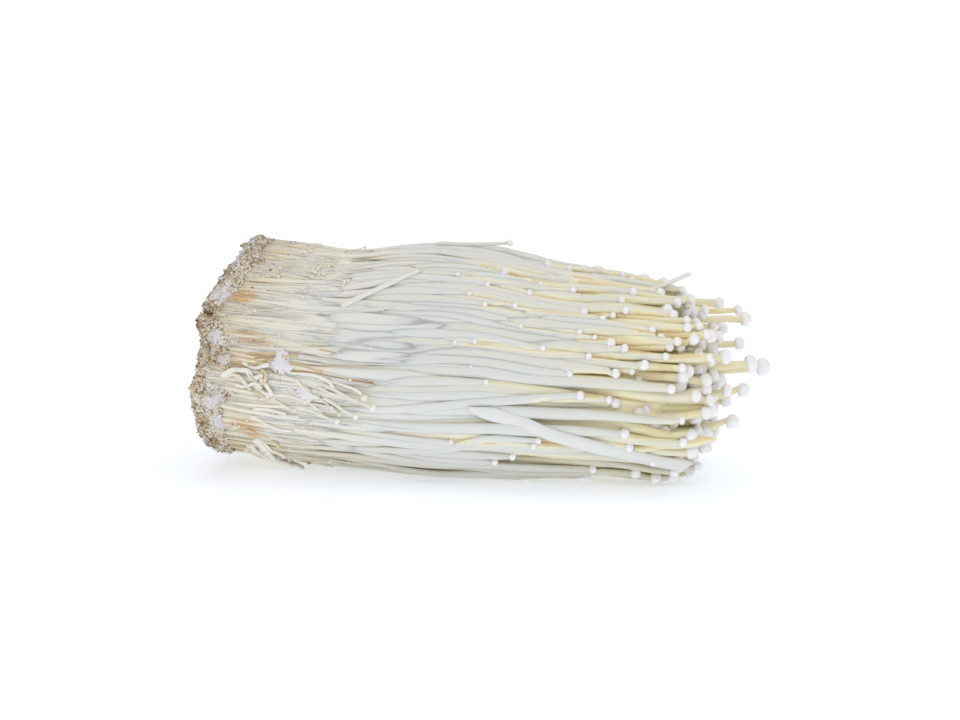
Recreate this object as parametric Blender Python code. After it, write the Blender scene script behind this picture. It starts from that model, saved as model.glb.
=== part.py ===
"""Enoki mushroom bunch lying on its side, as cut from its growing bottle.

The bunch is three clumps. Each clump has a heel, which is the cut slab of mycelium that the stems grew out of,
and tufts, which are groups of slender stems fused side by side. Between the tufts run single mushrooms, each one
stem with its cap, and those carry on past the tufts' heads.

Frame: metres, +Z up, +X from the cut heel towards the caps, -Y the side that faces a person who looks at the bunch
with its heel on the left. The origin is the middle of the footprint, on the surface that the bunch rests on.

Every piece is laid out on one reference section, a disc of radius REF_R, and carried along the bunch by flow(),
a smooth one-to-one map from (station, p, q) to space. Pieces whose outlines are apart on the section are then
apart everywhere, so all clearances are set on the section.
"""

import math

import bmesh
import bpy
from mathutils import Vector
from mathutils.geometry import delaunay_2d_cdt

for old in list(bpy.data.objects):
    bpy.data.objects.remove(old, do_unlink=True)

# ---------------------------------------------------------------- driving dimensions, in millimetres
REF_R = 33.0          # radius of the reference section
GAP = 0.55            # clearance between neighbours on the section
HEEL_START = -75.8    # station of the cut face
HEEL_END = -67.0      # station where the heel ends
ROOT = -66.4          # station where the stems start
TUFTS = 24            # stem tufts
TUFT_SIDES = 20       # corners of a tuft's outline
STEM_SIDES = 7        # corners of a single stem
HEADS = 6             # mushrooms that stand clear of a tuft's end
HEAD_SIDES = 5        # corners of each of those
HEAD_STEM = 0.85      # their stems' radius
HEAD_CAP = 1.6        # their caps' radius
PACKED_STATIONS = (-66.4, -58.0, -48.0, -32.0, -14.0, 4.0, 20.0, 34.0, 46.0, 56.0, 66.0, 76.0)

# Stations down the bunch with the section there: centre height, half height, half width.
SECTION_AT = (-82.0, -64.0, -36.0, -17.0, 5.0, 22.0, 40.0, 59.0, 84.0)
CENTRE_Z = (35.2, 33.4, 30.4, 30.1, 30.4, 29.2, 28.4, 26.4, 27.6)
HALF_Z = (30.4, 30.2, 32.0, 32.4, 32.2, 31.1, 30.2, 27.8, 25.4)
HALF_Y = (29.0, 30.8, 33.0, 34.2, 34.8, 35.0, 34.2, 32.5, 30.0)
# How the cut leans: height on the section as a share of its radius, and how far the cut stands towards +X there.
SLANT_AT = (-1.0, -0.9, -0.75, -0.45, -0.2, 0.0, 0.2, 0.4, 0.55, 0.75, 0.9, 1.0)
SLANT = (4.0, 1.2, 0.0, -0.6, 0.9, 2.8, 3.2, 3.0, 4.2, 8.0, 11.4, 14.0)


def smooth(t):
    t = min(1.0, max(0.0, t))
    return t * t * (3.0 - 2.0 * t)


def along(x, xs, ys):
    """A smooth curve through the points (xs, ys), flat beyond its ends."""
    if x <= xs[0]:
        return ys[0]
    if x >= xs[-1]:
        return ys[-1]
    i = max(k for k in range(len(xs) - 1) if xs[k] <= x)
    slopes = []
    for k in (i, i + 1):
        lo, hi = max(0, k - 1), min(len(xs) - 1, k + 1)
        slopes.append((ys[hi] - ys[lo]) / (xs[hi] - xs[lo]))
    h = xs[i + 1] - xs[i]
    t = (x - xs[i]) / h
    return (
        ys[i] * (1 + 2 * t) * (1 - t) ** 2
        + slopes[0] * h * t * (1 - t) ** 2
        + ys[i + 1] * t * t * (3 - 2 * t)
        + slopes[1] * h * t * t * (t - 1)
    )


def slant(p, q):
    """How far the cut face and the stems' roots stand towards +X, in mm: the heel was cut leaning back at its top."""
    up = q / REF_R
    return along(up, SLANT_AT, SLANT) + 1.2 * math.sin(p / 9.0 + 1.0) * (1.0 - abs(up))


def flow(s, p, q):
    """Station s and section point (p, q), all in mm, to a point in space, in mm."""
    loose = smooth((s + 66.0) / 40.0)
    wp = loose * (1.1 * math.sin(s / 17.0 + 2.0 * q / REF_R + 0.4) + 0.7 * math.sin(s / 10.5 + 1.6 * p / REF_R - 1.0))
    wq = loose * (0.9 * math.sin(s / 19.0 - 1.8 * p / REF_R + 2.1) + 0.6 * math.sin(s / 11.5 + 1.9 * q / REF_R + 0.6))
    y = (p + wp) * along(s, SECTION_AT, HALF_Y) / REF_R
    z = along(s, SECTION_AT, CENTRE_Z) + (q + wq) * along(s, SECTION_AT, HALF_Z) / REF_R
    x = s + slant(p, q) * smooth((-18.0 - s) / 50.0)
    return Vector((x, y, max(0.0, z)))


# ---------------------------------------------------------------- layout on the section
def relaxed_seeds(count):
    """Evenly spread points on the section: a sunflower pattern, evened out by moving each to its cell's middle."""
    seeds = []
    for k in range(count):
        r = (REF_R - 2.0) * math.sqrt((k + 0.5) / count)
        a = 2.399963 * k + 0.35
        seeds.append((r * math.cos(a), r * math.sin(a)))
    step = REF_R / 28.0
    grid = [
        (i * step, j * step)
        for i in range(-28, 29)
        for j in range(-28, 29)
        if (i * step) ** 2 + (j * step) ** 2 <= REF_R**2
    ]
    for _ in range(24):
        sums = [[0.0, 0.0, 0] for _ in seeds]
        for gx, gy in grid:
            k = min(range(count), key=lambda n: (seeds[n][0] - gx) ** 2 + (seeds[n][1] - gy) ** 2)
            sums[k][0] += gx
            sums[k][1] += gy
            sums[k][2] += 1
        seeds = [(sx / n, sy / n) if n else seeds[k] for k, (sx, sy, n) in enumerate(sums)]
    return seeds


def corners_of(seeds):
    """Where three cells meet, or two cells and the rim: the channels that single stems can run in."""
    found = []
    n = len(seeds)

    def nearest(x, y):
        return min((sx - x) ** 2 + (sy - y) ** 2 for sx, sy in seeds)

    for i in range(n):
        for j in range(i + 1, n):
            ax, ay = seeds[i]
            bx, by = seeds[j]
            if (ax - bx) ** 2 + (ay - by) ** 2 > 22.0**2:
                continue
            for k in range(j + 1, n):
                cx, cy = seeds[k]
                d = 2 * (ax * (by - cy) + bx * (cy - ay) + cx * (ay - by))
                if abs(d) < 1e-6:
                    continue
                ux = ((ax**2 + ay**2) * (by - cy) + (bx**2 + by**2) * (cy - ay) + (cx**2 + cy**2) * (ay - by)) / d
                uy = ((ax**2 + ay**2) * (cx - bx) + (bx**2 + by**2) * (ax - cx) + (cx**2 + cy**2) * (bx - ax)) / d
                if math.hypot(ux, uy) < REF_R - 2.0 and nearest(ux, uy) > (ax - ux) ** 2 + (ay - uy) ** 2 - 1e-6:
                    found.append((ux, uy))
            mx, my = (ax + bx) / 2, (ay + by) / 2
            dx, dy = -(by - ay), bx - ax
            length = math.hypot(dx, dy)
            dx, dy = dx / length, dy / length
            b = mx * dx + my * dy
            c = mx * mx + my * my - REF_R**2
            if b * b - c < 0:
                continue
            for t in (-b + math.sqrt(b * b - c), -b - math.sqrt(b * b - c)):
                x, y = mx + t * dx, my + t * dy
                if nearest(x, y) > (ax - x) ** 2 + (ay - y) ** 2 - 1e-6:
                    found.append((x * (REF_R - 0.9) / REF_R, y * (REF_R - 0.9) / REF_R))
    return found


SEEDS = relaxed_seeds(TUFTS)
CORNERS = corners_of(SEEDS)

# The long single mushrooms: the cap's middle (x, y, z), the cap's radius, then the stem's radius under the cap.
TIPS = (
    (79.1, -12.0, 34.8, 2.5, 1.20),
    (82.4, -5.0, 32.4, 2.5, 1.20),
    (72.1, -17.0, 37.8, 2.1, 1.15),
    (69.9, -10.0, 41.6, 1.8, 1.05),
    (75.2, -1.0, 38.4, 1.9, 1.05),
    (76.7, 3.0, 44.8, 2.1, 1.15),
    (74.0, 11.0, 45.6, 1.6, 1.00),
    (65.5, -4.0, 47.8, 1.5, 0.95),
    (77.0, -7.0, 26.0, 2.0, 1.15),
    (72.5, -15.5, 27.4, 1.9, 1.10),
    (69.0, -21.5, 22.6, 1.8, 1.10),
    (74.3, -10.0, 17.6, 2.1, 1.15),
    (65.8, -16.0, 14.4, 1.7, 1.05),
    (62.8, -26.5, 35.2, 1.9, 1.10),
    (67.6, -23.5, 29.2, 1.8, 1.05),
    (60.1, -25.5, 16.2, 1.5, 1.00),
    (71.2, 12.5, 19.7, 2.0, 1.10),
    (68.2, 20.0, 30.7, 2.1, 1.10),
    (62.7, 21.5, 40.7, 1.8, 1.05),
    (61.2, 15.0, 10.7, 1.8, 1.05),)

# Stems that lie on the outside of the bunch: stations, angles round the section in degrees (180 faces -Y, 90 is up),
# heights above the stems beneath, the radius at the root and at the end, then the cap's radius (0 for none).
OUTER = {
    "outer_stem_broken": ((2.7, 16.0, 31.0, 46.0, 60.5), (190, 196, 205, 214, 223), (0.5, 0.6, 0.8, 0.7, 0.9), 1.3, 1.4, 0.0),
    "outer_stem_crossing": ((-34.0, -27.0, -20.0, -13.0), (143, 137, 131, 123), (0.5, 0.9, 0.9, 0.5), 0.65, 0.6, 0.0),
    "outer_stem_raised": ((-10.5, -3.5, 3.5, 10.5), (92, 91, 90, 89), (0.55, 0.6, 1.6, 3.4), 0.6, 0.5, 1.0),
    "outer_stem_snapped": ((46.0, 50.5, 55.0, 59.5), (104, 102, 100, 98), (0.6, 1.5, 3.4, 5.8), 0.65, 0.6, 0.0),
    "short_mushroom_1": ((-37.5, -32.5, -27.5, -22.0), (182, 185, 188, 190.5), (0.6, 1.2, 1.8, 2.2), 0.45, 0.48, 1.0),
    "short_mushroom_2": ((-37.0, -33.5, -30.5, -27.0), (189, 191.5, 194, 196), (0.6, 1.4, 2.1, 2.6), 0.45, 0.48, 0.95),
    "short_mushroom_3": ((-42.5, -39.0, -36.0, -32.5), (197, 198.5, 200, 201), (0.6, 1.3, 1.8, 2.2), 0.45, 0.45, 0.9),
    "torn_stem_1": ((-58.0, -54.0, -50.0, -46.0), (238, 240, 242, 244), (0.6, 1.5, 1.3, 1.2), 0.65, 0.6, 0.0),
    "torn_stem_2": ((-60.0, -56.5, -53.0, -49.5), (244, 246, 248, 250), (0.6, 1.5, 1.2, 1.1), 0.65, 0.6, 0.0),
    "torn_stem_3": ((-62.0, -59.0, -56.0, -53.0), (250, 252, 254, 256), (0.6, 1.3, 1.0, 0.9), 0.65, 0.6, 0.0),
}

# Pads of loose mycelium on the outside: station, angle, half length along the bunch, half width round it, thickness.
PADS = {"mycelium_pad_1": (-50.1, 174.4, 3.0, 3.8, 1.5), "mycelium_pad_2": (-42.2, 189.2, 3.3, 2.3, 1.3)}

# The heel's three clumps, as the heights of the cracks between them at the section.
CRACKS = (12.8, -4.9)

BODIES = []  # (name, vertices in mm, faces)


def section_of(x, y, z):
    """The point of the section whose flow lands at (y, z) at station x; the flow's drift is small, so this is close."""
    p = y * REF_R / along(x, SECTION_AT, HALF_Y)
    q = (z - along(x, SECTION_AT, CENTRE_Z)) * REF_R / along(x, SECTION_AT, HALF_Z)
    for _ in range(6):
        at = flow(x, p, q)
        p += (y - at.y) * REF_R / along(x, SECTION_AT, HALF_Y)
        q += (z - at.z) * REF_R / along(x, SECTION_AT, HALF_Z)
    return p, q


def scale_at(s):
    return min(along(s, SECTION_AT, HALF_Y), along(s, SECTION_AT, HALF_Z)) / REF_R


def path_of(tip, corner):
    """A single's way over the section: along its channel, then off to where its cap is."""
    tip_p, tip_q = section_of(tip[0], tip[1], tip[2])

    def at(s):
        t = smooth((s - 26.0) / (tip[0] - 26.0))
        return corner[0] + (tip_p - corner[0]) * t, corner[1] + (tip_q - corner[1]) * t

    return at


def stem_radius(s, end_radius):
    return 0.6 + (end_radius - 0.6) * smooth((s - ROOT) / 122.0)


def pair_up():
    """Gives every single the nearest free channel, those with the fewest channels near them first."""
    targets = [section_of(*tip[:3]) for tip in TIPS]

    def reach(i, c):
        return math.hypot(targets[i][0] - c[0], targets[i][1] - c[1])

    order = sorted(range(len(TIPS)), key=lambda i: sorted(reach(i, c) for c in CORNERS)[2], reverse=True)
    free = list(CORNERS)
    chosen = [None] * len(TIPS)
    for i in order:
        best = min(free, key=lambda c: reach(i, c))
        chosen[i] = best
        free = [c for c in free if math.hypot(c[0] - best[0], c[1] - best[1]) > 3.4]
    return chosen


CHANNELS = pair_up()
SINGLES = [path_of(tip, corner) for tip, corner in zip(TIPS, CHANNELS)]


def tuft_end(k):
    p, q = SEEDS[k]
    reach = math.hypot(p, q) / REF_R
    return 60.0 - 16.0 * reach**2.4 - 5.0 * (0.5 + 0.5 * math.sin(5.1 * k + 0.7))


def tuft_planes(k, s):
    """The half planes that bound tuft k's outline at station s, as (direction, distance from its seed)."""
    sp, sq = SEEDS[k]
    planes = []
    for j, (op, oq) in enumerate(SEEDS):
        if j != k:
            d = math.hypot(op - sp, oq - sq)
            if d < 24.0:
                planes.append(((op - sp) / d, (oq - sq) / d, d / 2 - GAP / 2))
    for tip, way in zip(TIPS, SINGLES):
        if s > tip[0] + 3.0:
            continue
        vp, vq = way(s)
        d = math.hypot(vp - sp, vq - sq)
        keep = stem_radius(s, tip[4]) + 0.5
        if s > tip[0] - 9.0:
            keep = tip[3] + 0.6
        keep /= scale_at(s)
        if d < 14.0 + keep:
            planes.append(((vp - sp) / d, (vq - sq) / d, d - keep))
    return planes


def tuft_outline(k, s, inset):
    sp, sq = SEEDS[k]
    planes = tuft_planes(k, s)
    out = []
    for i in range(TUFT_SIDES):
        a = 2 * math.pi * (i + 0.3 * math.sin(k)) / TUFT_SIDES
        u, v = math.cos(a), math.sin(a)
        b = sp * u + sq * v
        r = -b + math.sqrt(b * b - sp * sp - sq * sq + REF_R**2)
        for n0, n1, d in planes:
            c = n0 * u + n1 * v
            if c > 1e-6:
                r = min(r, d / c)
        r *= inset * (1.0 if i % 2 else 0.87)
        out.append((sp + r * u, sq + r * v))
    return out


def loft(rings, name):
    """A closed body through rings of points, each ring in the same order, closed by a fan at either end."""
    n = len(rings[0])
    verts = [v for ring in rings for v in ring]
    faces = []
    for i in range(len(rings) - 1):
        for j in range(n):
            a, b = i * n + j, i * n + (j + 1) % n
            faces.append((a, b, b + n, a + n))
    for ring, flip in ((0, True), (len(rings) - 1, False)):
        middle = sum((v for v in rings[ring]), Vector((0, 0, 0))) / n
        verts.append(middle)
        c = len(verts) - 1
        for j in range(n):
            a, b = ring * n + j, ring * n + (j + 1) % n
            faces.append((b, a, c) if flip else (a, b, c))
    BODIES.append((name, verts, faces))


def clear_of(outline, p, q):
    """How far (p, q) is from the nearest side of an outline."""
    best = 1e9
    for i, (ap, aq) in enumerate(outline):
        bp, bq = outline[(i + 1) % len(outline)]
        t = ((p - ap) * (bp - ap) + (q - aq) * (bq - aq)) / ((bp - ap) ** 2 + (bq - aq) ** 2)
        t = min(1.0, max(0.0, t))
        best = min(best, math.hypot(ap + t * (bp - ap) - p, aq + t * (bq - aq) - q))
    return best


def heads_of(k, end, outline):
    """Where tuft k's own mushrooms stand clear of its end: (p, q, station of the cap's top, cap radius)."""
    sp, sq = SEEDS[k]
    found = []
    for i in range(HEADS):
        a = 2.0 * math.pi * i / (HEADS - 1) + 1.9 * k
        u, v = math.cos(a), math.sin(a)
        stand = 7.5 + 4.5 * math.sin(2.3 * i + 1.7 * k) + (4.0 if i == HEADS - 1 else 0.0)
        tip = end + max(4.6, stand)
        planes = [plane for s in (end, (end + tip) / 2, tip) for plane in tuft_planes(k, s)]
        out = 0.0
        if i < HEADS - 1:
            limits = [d / (n0 * u + n1 * v) for n0, n1, d in planes if n0 * u + n1 * v > 0.05]
            out = min(4.1, 0.62 * min(limits, default=6.5))
            while out > 1.5 and clear_of(outline, sp + out * u, sq + out * v) < HEAD_STEM / scale_at(end) + 0.25:
                out -= 0.1
        room = min(d - out * (n0 * u + n1 * v) for n0, n1, d in planes) * scale_at(tip)
        cap = min(HEAD_CAP * (0.92 + 0.12 * math.sin(3.1 * i + k)), room)
        p, q = sp + out * u, sq + out * v
        if cap > 0.95 and all(math.hypot(p - o[0], q - o[1]) * scale_at(tip) > cap + o[3] + 0.05 for o in found):
            found.append((p, q, tip, cap))
    return found


def build_tuft(name, k, end):
    """A tuft: fluted where its stems are packed, its end face carrying the stems and caps that stand clear of it."""
    stations = [ROOT] + [s for s in PACKED_STATIONS if ROOT < s < end - 4.0] + [end - 2.0, end]
    insets = [1.0] * (len(stations) - 1) + [0.93]
    outlines = [tuft_outline(k, s, inset) for s, inset in zip(stations, insets)]
    n = TUFT_SIDES
    verts = [flow(s, *pt) for s, outline in zip(stations, outlines) for pt in outline]
    faces = []
    for i in range(len(outlines) - 1):
        for j in range(n):
            a, b = i * n + j, i * n + (j + 1) % n
            faces.append((a, b, b + n, a + n))
    verts.append(flow(ROOT, *SEEDS[k]))
    faces += [(j, len(verts) - 1, (j + 1) % n) for j in range(n)]

    flat = list(outlines[-1])
    ids = [(len(outlines) - 1) * n + j for j in range(n)]
    edges = [(j, (j + 1) % n) for j in range(n)]
    heads = heads_of(k, end, outlines[-1])
    for p, q, tip, cap in heads:
        first = len(flat)
        scale = scale_at(tip)
        rings = (
            (end, HEAD_STEM),
            (end + 0.5 * (tip - 1.1 * cap - end), HEAD_STEM),
            (tip - 1.1 * cap, 0.97 * HEAD_STEM),
            (tip - 0.98 * cap, 0.78 * cap),
            (tip - 0.62 * cap, cap),
            (tip - 0.18 * cap, 0.66 * cap),
        )
        start = len(verts)
        for r, (s, radius) in enumerate(rings):
            for j in range(HEAD_SIDES):
                t = 2 * math.pi * j / HEAD_SIDES
                at = (p + radius / scale * math.cos(t), q + radius / scale * math.sin(t))
                if r == 0:
                    flat.append(at)
                    ids.append(len(verts))
                    edges.append((first + j, first + (j + 1) % HEAD_SIDES))
                verts.append(flow(s, *at))
        for r in range(len(rings) - 1):
            for j in range(HEAD_SIDES):
                c, d = start + r * HEAD_SIDES + j, start + r * HEAD_SIDES + (j + 1) % HEAD_SIDES
                faces.append((c, d, d + HEAD_SIDES, c + HEAD_SIDES))
        verts.append(flow(tip, p, q))
        last = start + (len(rings) - 1) * HEAD_SIDES
        faces += [(last + j, last + (j + 1) % HEAD_SIDES, len(verts) - 1) for j in range(HEAD_SIDES)]
    cut = delaunay_2d_cdt([Vector(pt) for pt in flat], edges, [], 1, 1e-6)
    for triangle in cut[2]:
        corner = [cut[3][c][0] for c in triangle]
        cp = sum(flat[c][0] for c in corner) / 3
        cq = sum(flat[c][1] for c in corner) / 3
        if all(math.hypot(cp - p, cq - q) > 0.75 * HEAD_STEM / scale_at(tip) for p, q, tip, _ in heads):
            faces.append(tuple(ids[c] for c in corner))
    BODIES.append((name, verts, faces))


def build_tufts():
    rank = {"upper": 0, "middle": 0, "lower": 0}
    for k in sorted(range(TUFTS), key=lambda n: (-SEEDS[n][1], SEEDS[n][0])):
        q = SEEDS[k][1]
        clump = "upper" if q > CRACKS[0] - 3.0 else "middle" if q > CRACKS[1] - 3.0 else "lower"
        rank[clump] += 1
        end = tuft_end(k)
        probe = 30.0
        while probe < end:  # a tuft stops short of any single mushroom that leans over it
            if min(d for _, _, d in tuft_planes(k, probe)) < 3.0:
                end = probe - 1.0
                break
            probe += 1.0
        build_tuft(f"{clump}_tuft_{rank[clump]:02d}", k, end)


def tube(points, radii, name, cap=0.0, sides=STEM_SIDES):
    """A round stem through the points, with a cap of the given radius on its end, or a blunt torn end."""
    rings = []
    up = Vector((0.1, 0.2, 1.0))
    spots = list(zip(points, radii))
    if cap > 0.0:
        tip = points[-1]
        line = (points[-1] - points[-2]).normalized()
        spots = [(p, r) for p, r in spots[:-1] if (tip - p).dot(line) > 1.3 * cap]
        under = radii[-1]
        spots += [
            (tip - line * 1.05 * cap, under),
            (tip - line * 0.98 * cap, 0.72 * cap),
            (tip - line * 0.72 * cap, cap),
            (tip - line * 0.32 * cap, 0.9 * cap),
            (tip - line * 0.06 * cap, 0.52 * cap),
        ]
    for i, (p, r) in enumerate(spots):
        a = spots[max(0, i - 1)][0]
        b = spots[min(len(spots) - 1, i + 1)][0]
        line = (b - a).normalized()
        side = line.cross(up).normalized()
        top = side.cross(line).normalized()
        ring = []
        for j in range(sides):
            t = 2 * math.pi * j / sides
            ring.append(p + side * (r * math.cos(t)) + top * (r * math.sin(t)))
        rings.append(ring)
    loft(rings, name)


def build_singles():
    for i, (tip, way) in enumerate(zip(TIPS, SINGLES)):
        stations = [ROOT + 1.4] + [s for s in PACKED_STATIONS if ROOT < s < tip[0] - 6.0] + [tip[0]]
        points = [flow(s, *way(s)) for s in stations]
        tube(points, [stem_radius(s, tip[4]) for s in stations], f"mushroom_{i + 1:02d}", tip[3])


def build_outer():
    for name, (stations, angles, heights, r0, r1, cap) in OUTER.items():
        points, radii = [], []
        for i, (s, a, h) in enumerate(zip(stations, angles, heights)):
            r = r0 + (r1 - r0) * i / (len(stations) - 1)
            reach = REF_R + (h + r) / scale_at(s)
            points.append(flow(s, reach * math.cos(math.radians(a)), reach * math.sin(math.radians(a))))
            radii.append(r)
        fine, fine_r = [], []
        for i in range(len(points) - 1):  # rounds the way between the given points
            a, b, c, d = points[max(0, i - 1)], points[i], points[i + 1], points[min(len(points) - 1, i + 2)]
            for t in (0.0, 0.5):
                fine.append(b + (c - a) * 0.5 * t * (1 - t) ** 2 + (c - b) * (t * t * (3 - 2 * t)) + (d - b) * 0.5 * t * t * (t - 1))
                fine_r.append(radii[i] + (radii[i + 1] - radii[i]) * t)
        fine.append(points[-1])
        fine_r.append(radii[-1])
        tube(fine, fine_r, name, cap)


def lump(p, q, k):
    return (
        math.sin(p / 3.1 + 1.7 * k) * math.sin(q / 2.7 - 0.9 * k)
        + 0.6 * math.sin(p / 1.7 - q / 2.1 + 2.3 * k)
        + 0.5 * math.sin(q / 1.3 + p / 4.4 + 0.4 * k)
    ) / 2.1


def crack(level, p):
    return level + 1.1 * math.sin(p / 6.1 + level) + 0.5 * math.sin(p / 2.6 - level)


def build_heel():
    """The heel's clumps: lumpy slabs between the cut face and the stems' roots."""
    bands = {
        "heel_upper": (lambda p: crack(CRACKS[0], p) + GAP / 2, None),
        "heel_middle": (lambda p: crack(CRACKS[1], p) + GAP / 2, lambda p: crack(CRACKS[0], p) - GAP / 2),
        "heel_lower": (None, lambda p: crack(CRACKS[1], p) - GAP / 2),
    }
    columns, rows = 20, 8
    for k, (name, (low, high)) in enumerate(bands.items()):

        def spot(i, j, spread):
            """Grid point i across, j up. The outer rim bulges by spread; a crack's side does not move."""
            reach = (REF_R + 0.3) * spread
            levels = []
            width = 0.0
            for edge, sign in ((low, -1.0), (high, 1.0)):
                levels.append(edge(0.0) if edge else sign * reach * 0.975)
            q = levels[0] + (levels[1] - levels[0]) * j / rows
            width = math.sqrt(max(0.0, reach * reach - q * q))
            p = width * math.sin(math.pi / 2 * (2.0 * i / columns - 1.0))
            p *= 1.0 - 0.02 * (1.0 + math.sin(q / 2.3 + 2.0 * (p > 0) + k))
            lo = low(p) if low else levels[0]
            hi = high(p) if high else levels[1]
            q = lo + (hi - lo) * j / rows
            over = math.hypot(p, q) / reach
            if over > 1.0:
                p, q = p / over, q / over
            return p, q

        verts, faces = [], []
        layers = ((HEEL_START, 0.955, 0.9), (HEEL_START + 1.6, 1.0, 0.0), (HEEL_START + 5.4, 1.01, 0.0), (HEEL_END, 0.975, -0.45))
        border = (
            [(i, 0) for i in range(columns)]
            + [(columns, j) for j in range(rows)]
            + [(i, rows) for i in range(columns, 0, -1)]
            + [(0, j) for j in range(rows, 0, -1)]
        )
        index = {}
        for n, (s, spread, rough) in enumerate(layers):
            spots = [(i, j) for i in range(columns + 1) for j in range(rows + 1)] if n in (0, 3) else border
            for i, j in spots:
                p, q = spot(i, j, spread)
                ds = rough * (lump(p, q, k) + (1.0 if n == 0 else 1.0)) if rough else 0.25 * lump(p, q, k + 3)
                index[(n, i, j)] = len(verts)
                verts.append(flow(s + ds, p, q))
        for i in range(columns):
            for j in range(rows):
                f = (index[(0, i, j)], index[(0, i, j + 1)], index[(0, i + 1, j + 1)], index[(0, i + 1, j)])
                g = (index[(3, i, j)], index[(3, i + 1, j)], index[(3, i + 1, j + 1)], index[(3, i, j + 1)])
                faces += [f, g]
        for n in range(3):
            for m, spot_a in enumerate(border):
                spot_b = border[(m + 1) % len(border)]
                faces.append((index[(n, *spot_a)], index[(n, *spot_b)], index[(n + 1, *spot_b)], index[(n + 1, *spot_a)]))
        BODIES.append((name, verts, faces))


def build_pads():
    """Loose mycelium, as lumpy lenses lying on the stems."""
    around, up = 16, 7
    for k, (name, (s0, a0, half_s, half_w, thick)) in enumerate(PADS.items()):
        rings = []
        for j in range(1, up):
            v = math.pi * (j / up - 0.5)
            ring = []
            for i in range(around):
                t = 2 * math.pi * i / around
                r = math.cos(v) ** 0.7 * (1.0 + 0.13 * math.sin(3 * t + k) + 0.08 * math.sin(5 * t + 2 * k + j))
                s = s0 + half_s * r * math.cos(t)
                w = half_w * r * math.sin(t)
                h = 0.7 + thick * (0.5 + 0.5 * math.sin(v)) * (1.0 + 0.12 * math.sin(4 * t + j + k) * math.cos(v))
                a = math.radians(a0) + w / 34.0
                ring.append(flow(s, (REF_R + h) * math.cos(a), (REF_R + h) * math.sin(a)))
            rings.append(ring)
        loft(rings, name)


SHADES = {
    "heel": (0.62, 0.56, 0.47, 0.95),
    "pad": (0.86, 0.86, 0.84, 0.95),
    "tuft": (0.83, 0.81, 0.72, 0.5),
    "mushroom": (0.88, 0.87, 0.82, 0.42),
    "outer": (0.85, 0.84, 0.76, 0.45),
    "torn": (0.74, 0.66, 0.50, 0.6),
}


def finish():
    """Puts the footprint's middle on the origin, then makes the objects."""
    lo = [min(v[axis] for _, verts, _ in BODIES for v in verts) for axis in range(3)]
    hi = [max(v[axis] for _, verts, _ in BODIES for v in verts) for axis in range(3)]
    off = Vector(((lo[0] + hi[0]) / 2, (lo[1] + hi[1]) / 2, lo[2]))
    for n, (name, verts, faces) in enumerate(BODIES):
        mesh = bpy.data.meshes.new(name)
        mesh.from_pydata([(v - off) / 1000.0 for v in verts], [], faces)
        bm = bmesh.new()
        bm.from_mesh(mesh)
        bmesh.ops.triangulate(bm, faces=bm.faces)
        bmesh.ops.recalc_face_normals(bm, faces=bm.faces)
        bm.to_mesh(mesh)
        bm.free()
        mesh.update()
        part = bpy.data.objects.new(name, mesh)
        bpy.context.scene.collection.objects.link(part)
        kind = "tuft" if "tuft" in name else "pad" if "pad" in name else name.split("_")[0]
        kind = kind if kind in SHADES else "mushroom"
        r, g, b, rough = SHADES[kind]
        fade = 0.94 + 0.06 * math.sin(2.7 * n)
        paint = bpy.data.materials.new(name)
        paint.use_nodes = True
        shader = paint.node_tree.nodes["Principled BSDF"]
        shader.inputs["Base Color"].default_value = (r * fade, g * fade, b * fade, 1.0)
        shader.inputs["Roughness"].default_value = rough
        mesh.materials.append(paint)


build_heel()
build_tufts()
build_singles()
build_outer()
build_pads()
finish()
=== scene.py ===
"""Enoki mushroom bunch: the looks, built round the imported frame.

Lengths are in millimetres until a mesh is made. The stems follow the same layout as the solids: a reference section,
a disc of radius REF_R, carried along the bunch by flow(). Every stem in the bunch is a curve over that section, and
all of them are pushed apart together until they lie side by side.
"""

import math

import bpy
import numpy as np
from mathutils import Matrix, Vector


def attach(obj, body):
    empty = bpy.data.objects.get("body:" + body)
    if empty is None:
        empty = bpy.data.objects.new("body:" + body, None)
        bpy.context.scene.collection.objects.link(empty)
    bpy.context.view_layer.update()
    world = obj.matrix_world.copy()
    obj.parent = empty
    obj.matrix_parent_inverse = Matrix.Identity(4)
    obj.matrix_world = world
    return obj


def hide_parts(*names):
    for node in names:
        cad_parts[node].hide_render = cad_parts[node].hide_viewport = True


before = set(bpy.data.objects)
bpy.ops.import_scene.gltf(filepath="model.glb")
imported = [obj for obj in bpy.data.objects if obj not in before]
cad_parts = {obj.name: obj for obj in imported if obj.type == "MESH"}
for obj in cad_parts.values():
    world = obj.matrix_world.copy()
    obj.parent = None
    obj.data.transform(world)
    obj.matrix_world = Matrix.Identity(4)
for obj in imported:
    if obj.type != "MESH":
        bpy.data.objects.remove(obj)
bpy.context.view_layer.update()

OFF = (2.8858, -0.5292, 0.0)  # the layout's origin to the frame's
REF_R = 33.0
GAP = 0.55
ROOT = -66.4
TUFTS = 24
CRACKS = (12.8, -4.9)


def unit(v):
    return v / np.maximum(1e-9, np.linalg.norm(v, axis=-1, keepdims=True))


# Stations down the bunch with the section there: centre height, half height, half width.
SECTION_AT = (-82.0, -64.0, -36.0, -17.0, 5.0, 22.0, 40.0, 59.0, 84.0)
CENTRE_Z = (35.2, 33.4, 30.4, 30.1, 30.4, 29.2, 28.4, 26.4, 27.6)
HALF_Z = (30.4, 30.2, 32.0, 32.4, 32.2, 31.1, 30.2, 27.8, 25.4)
HALF_Y = (29.0, 30.8, 33.0, 34.2, 34.8, 35.0, 34.2, 32.5, 30.0)
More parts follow.
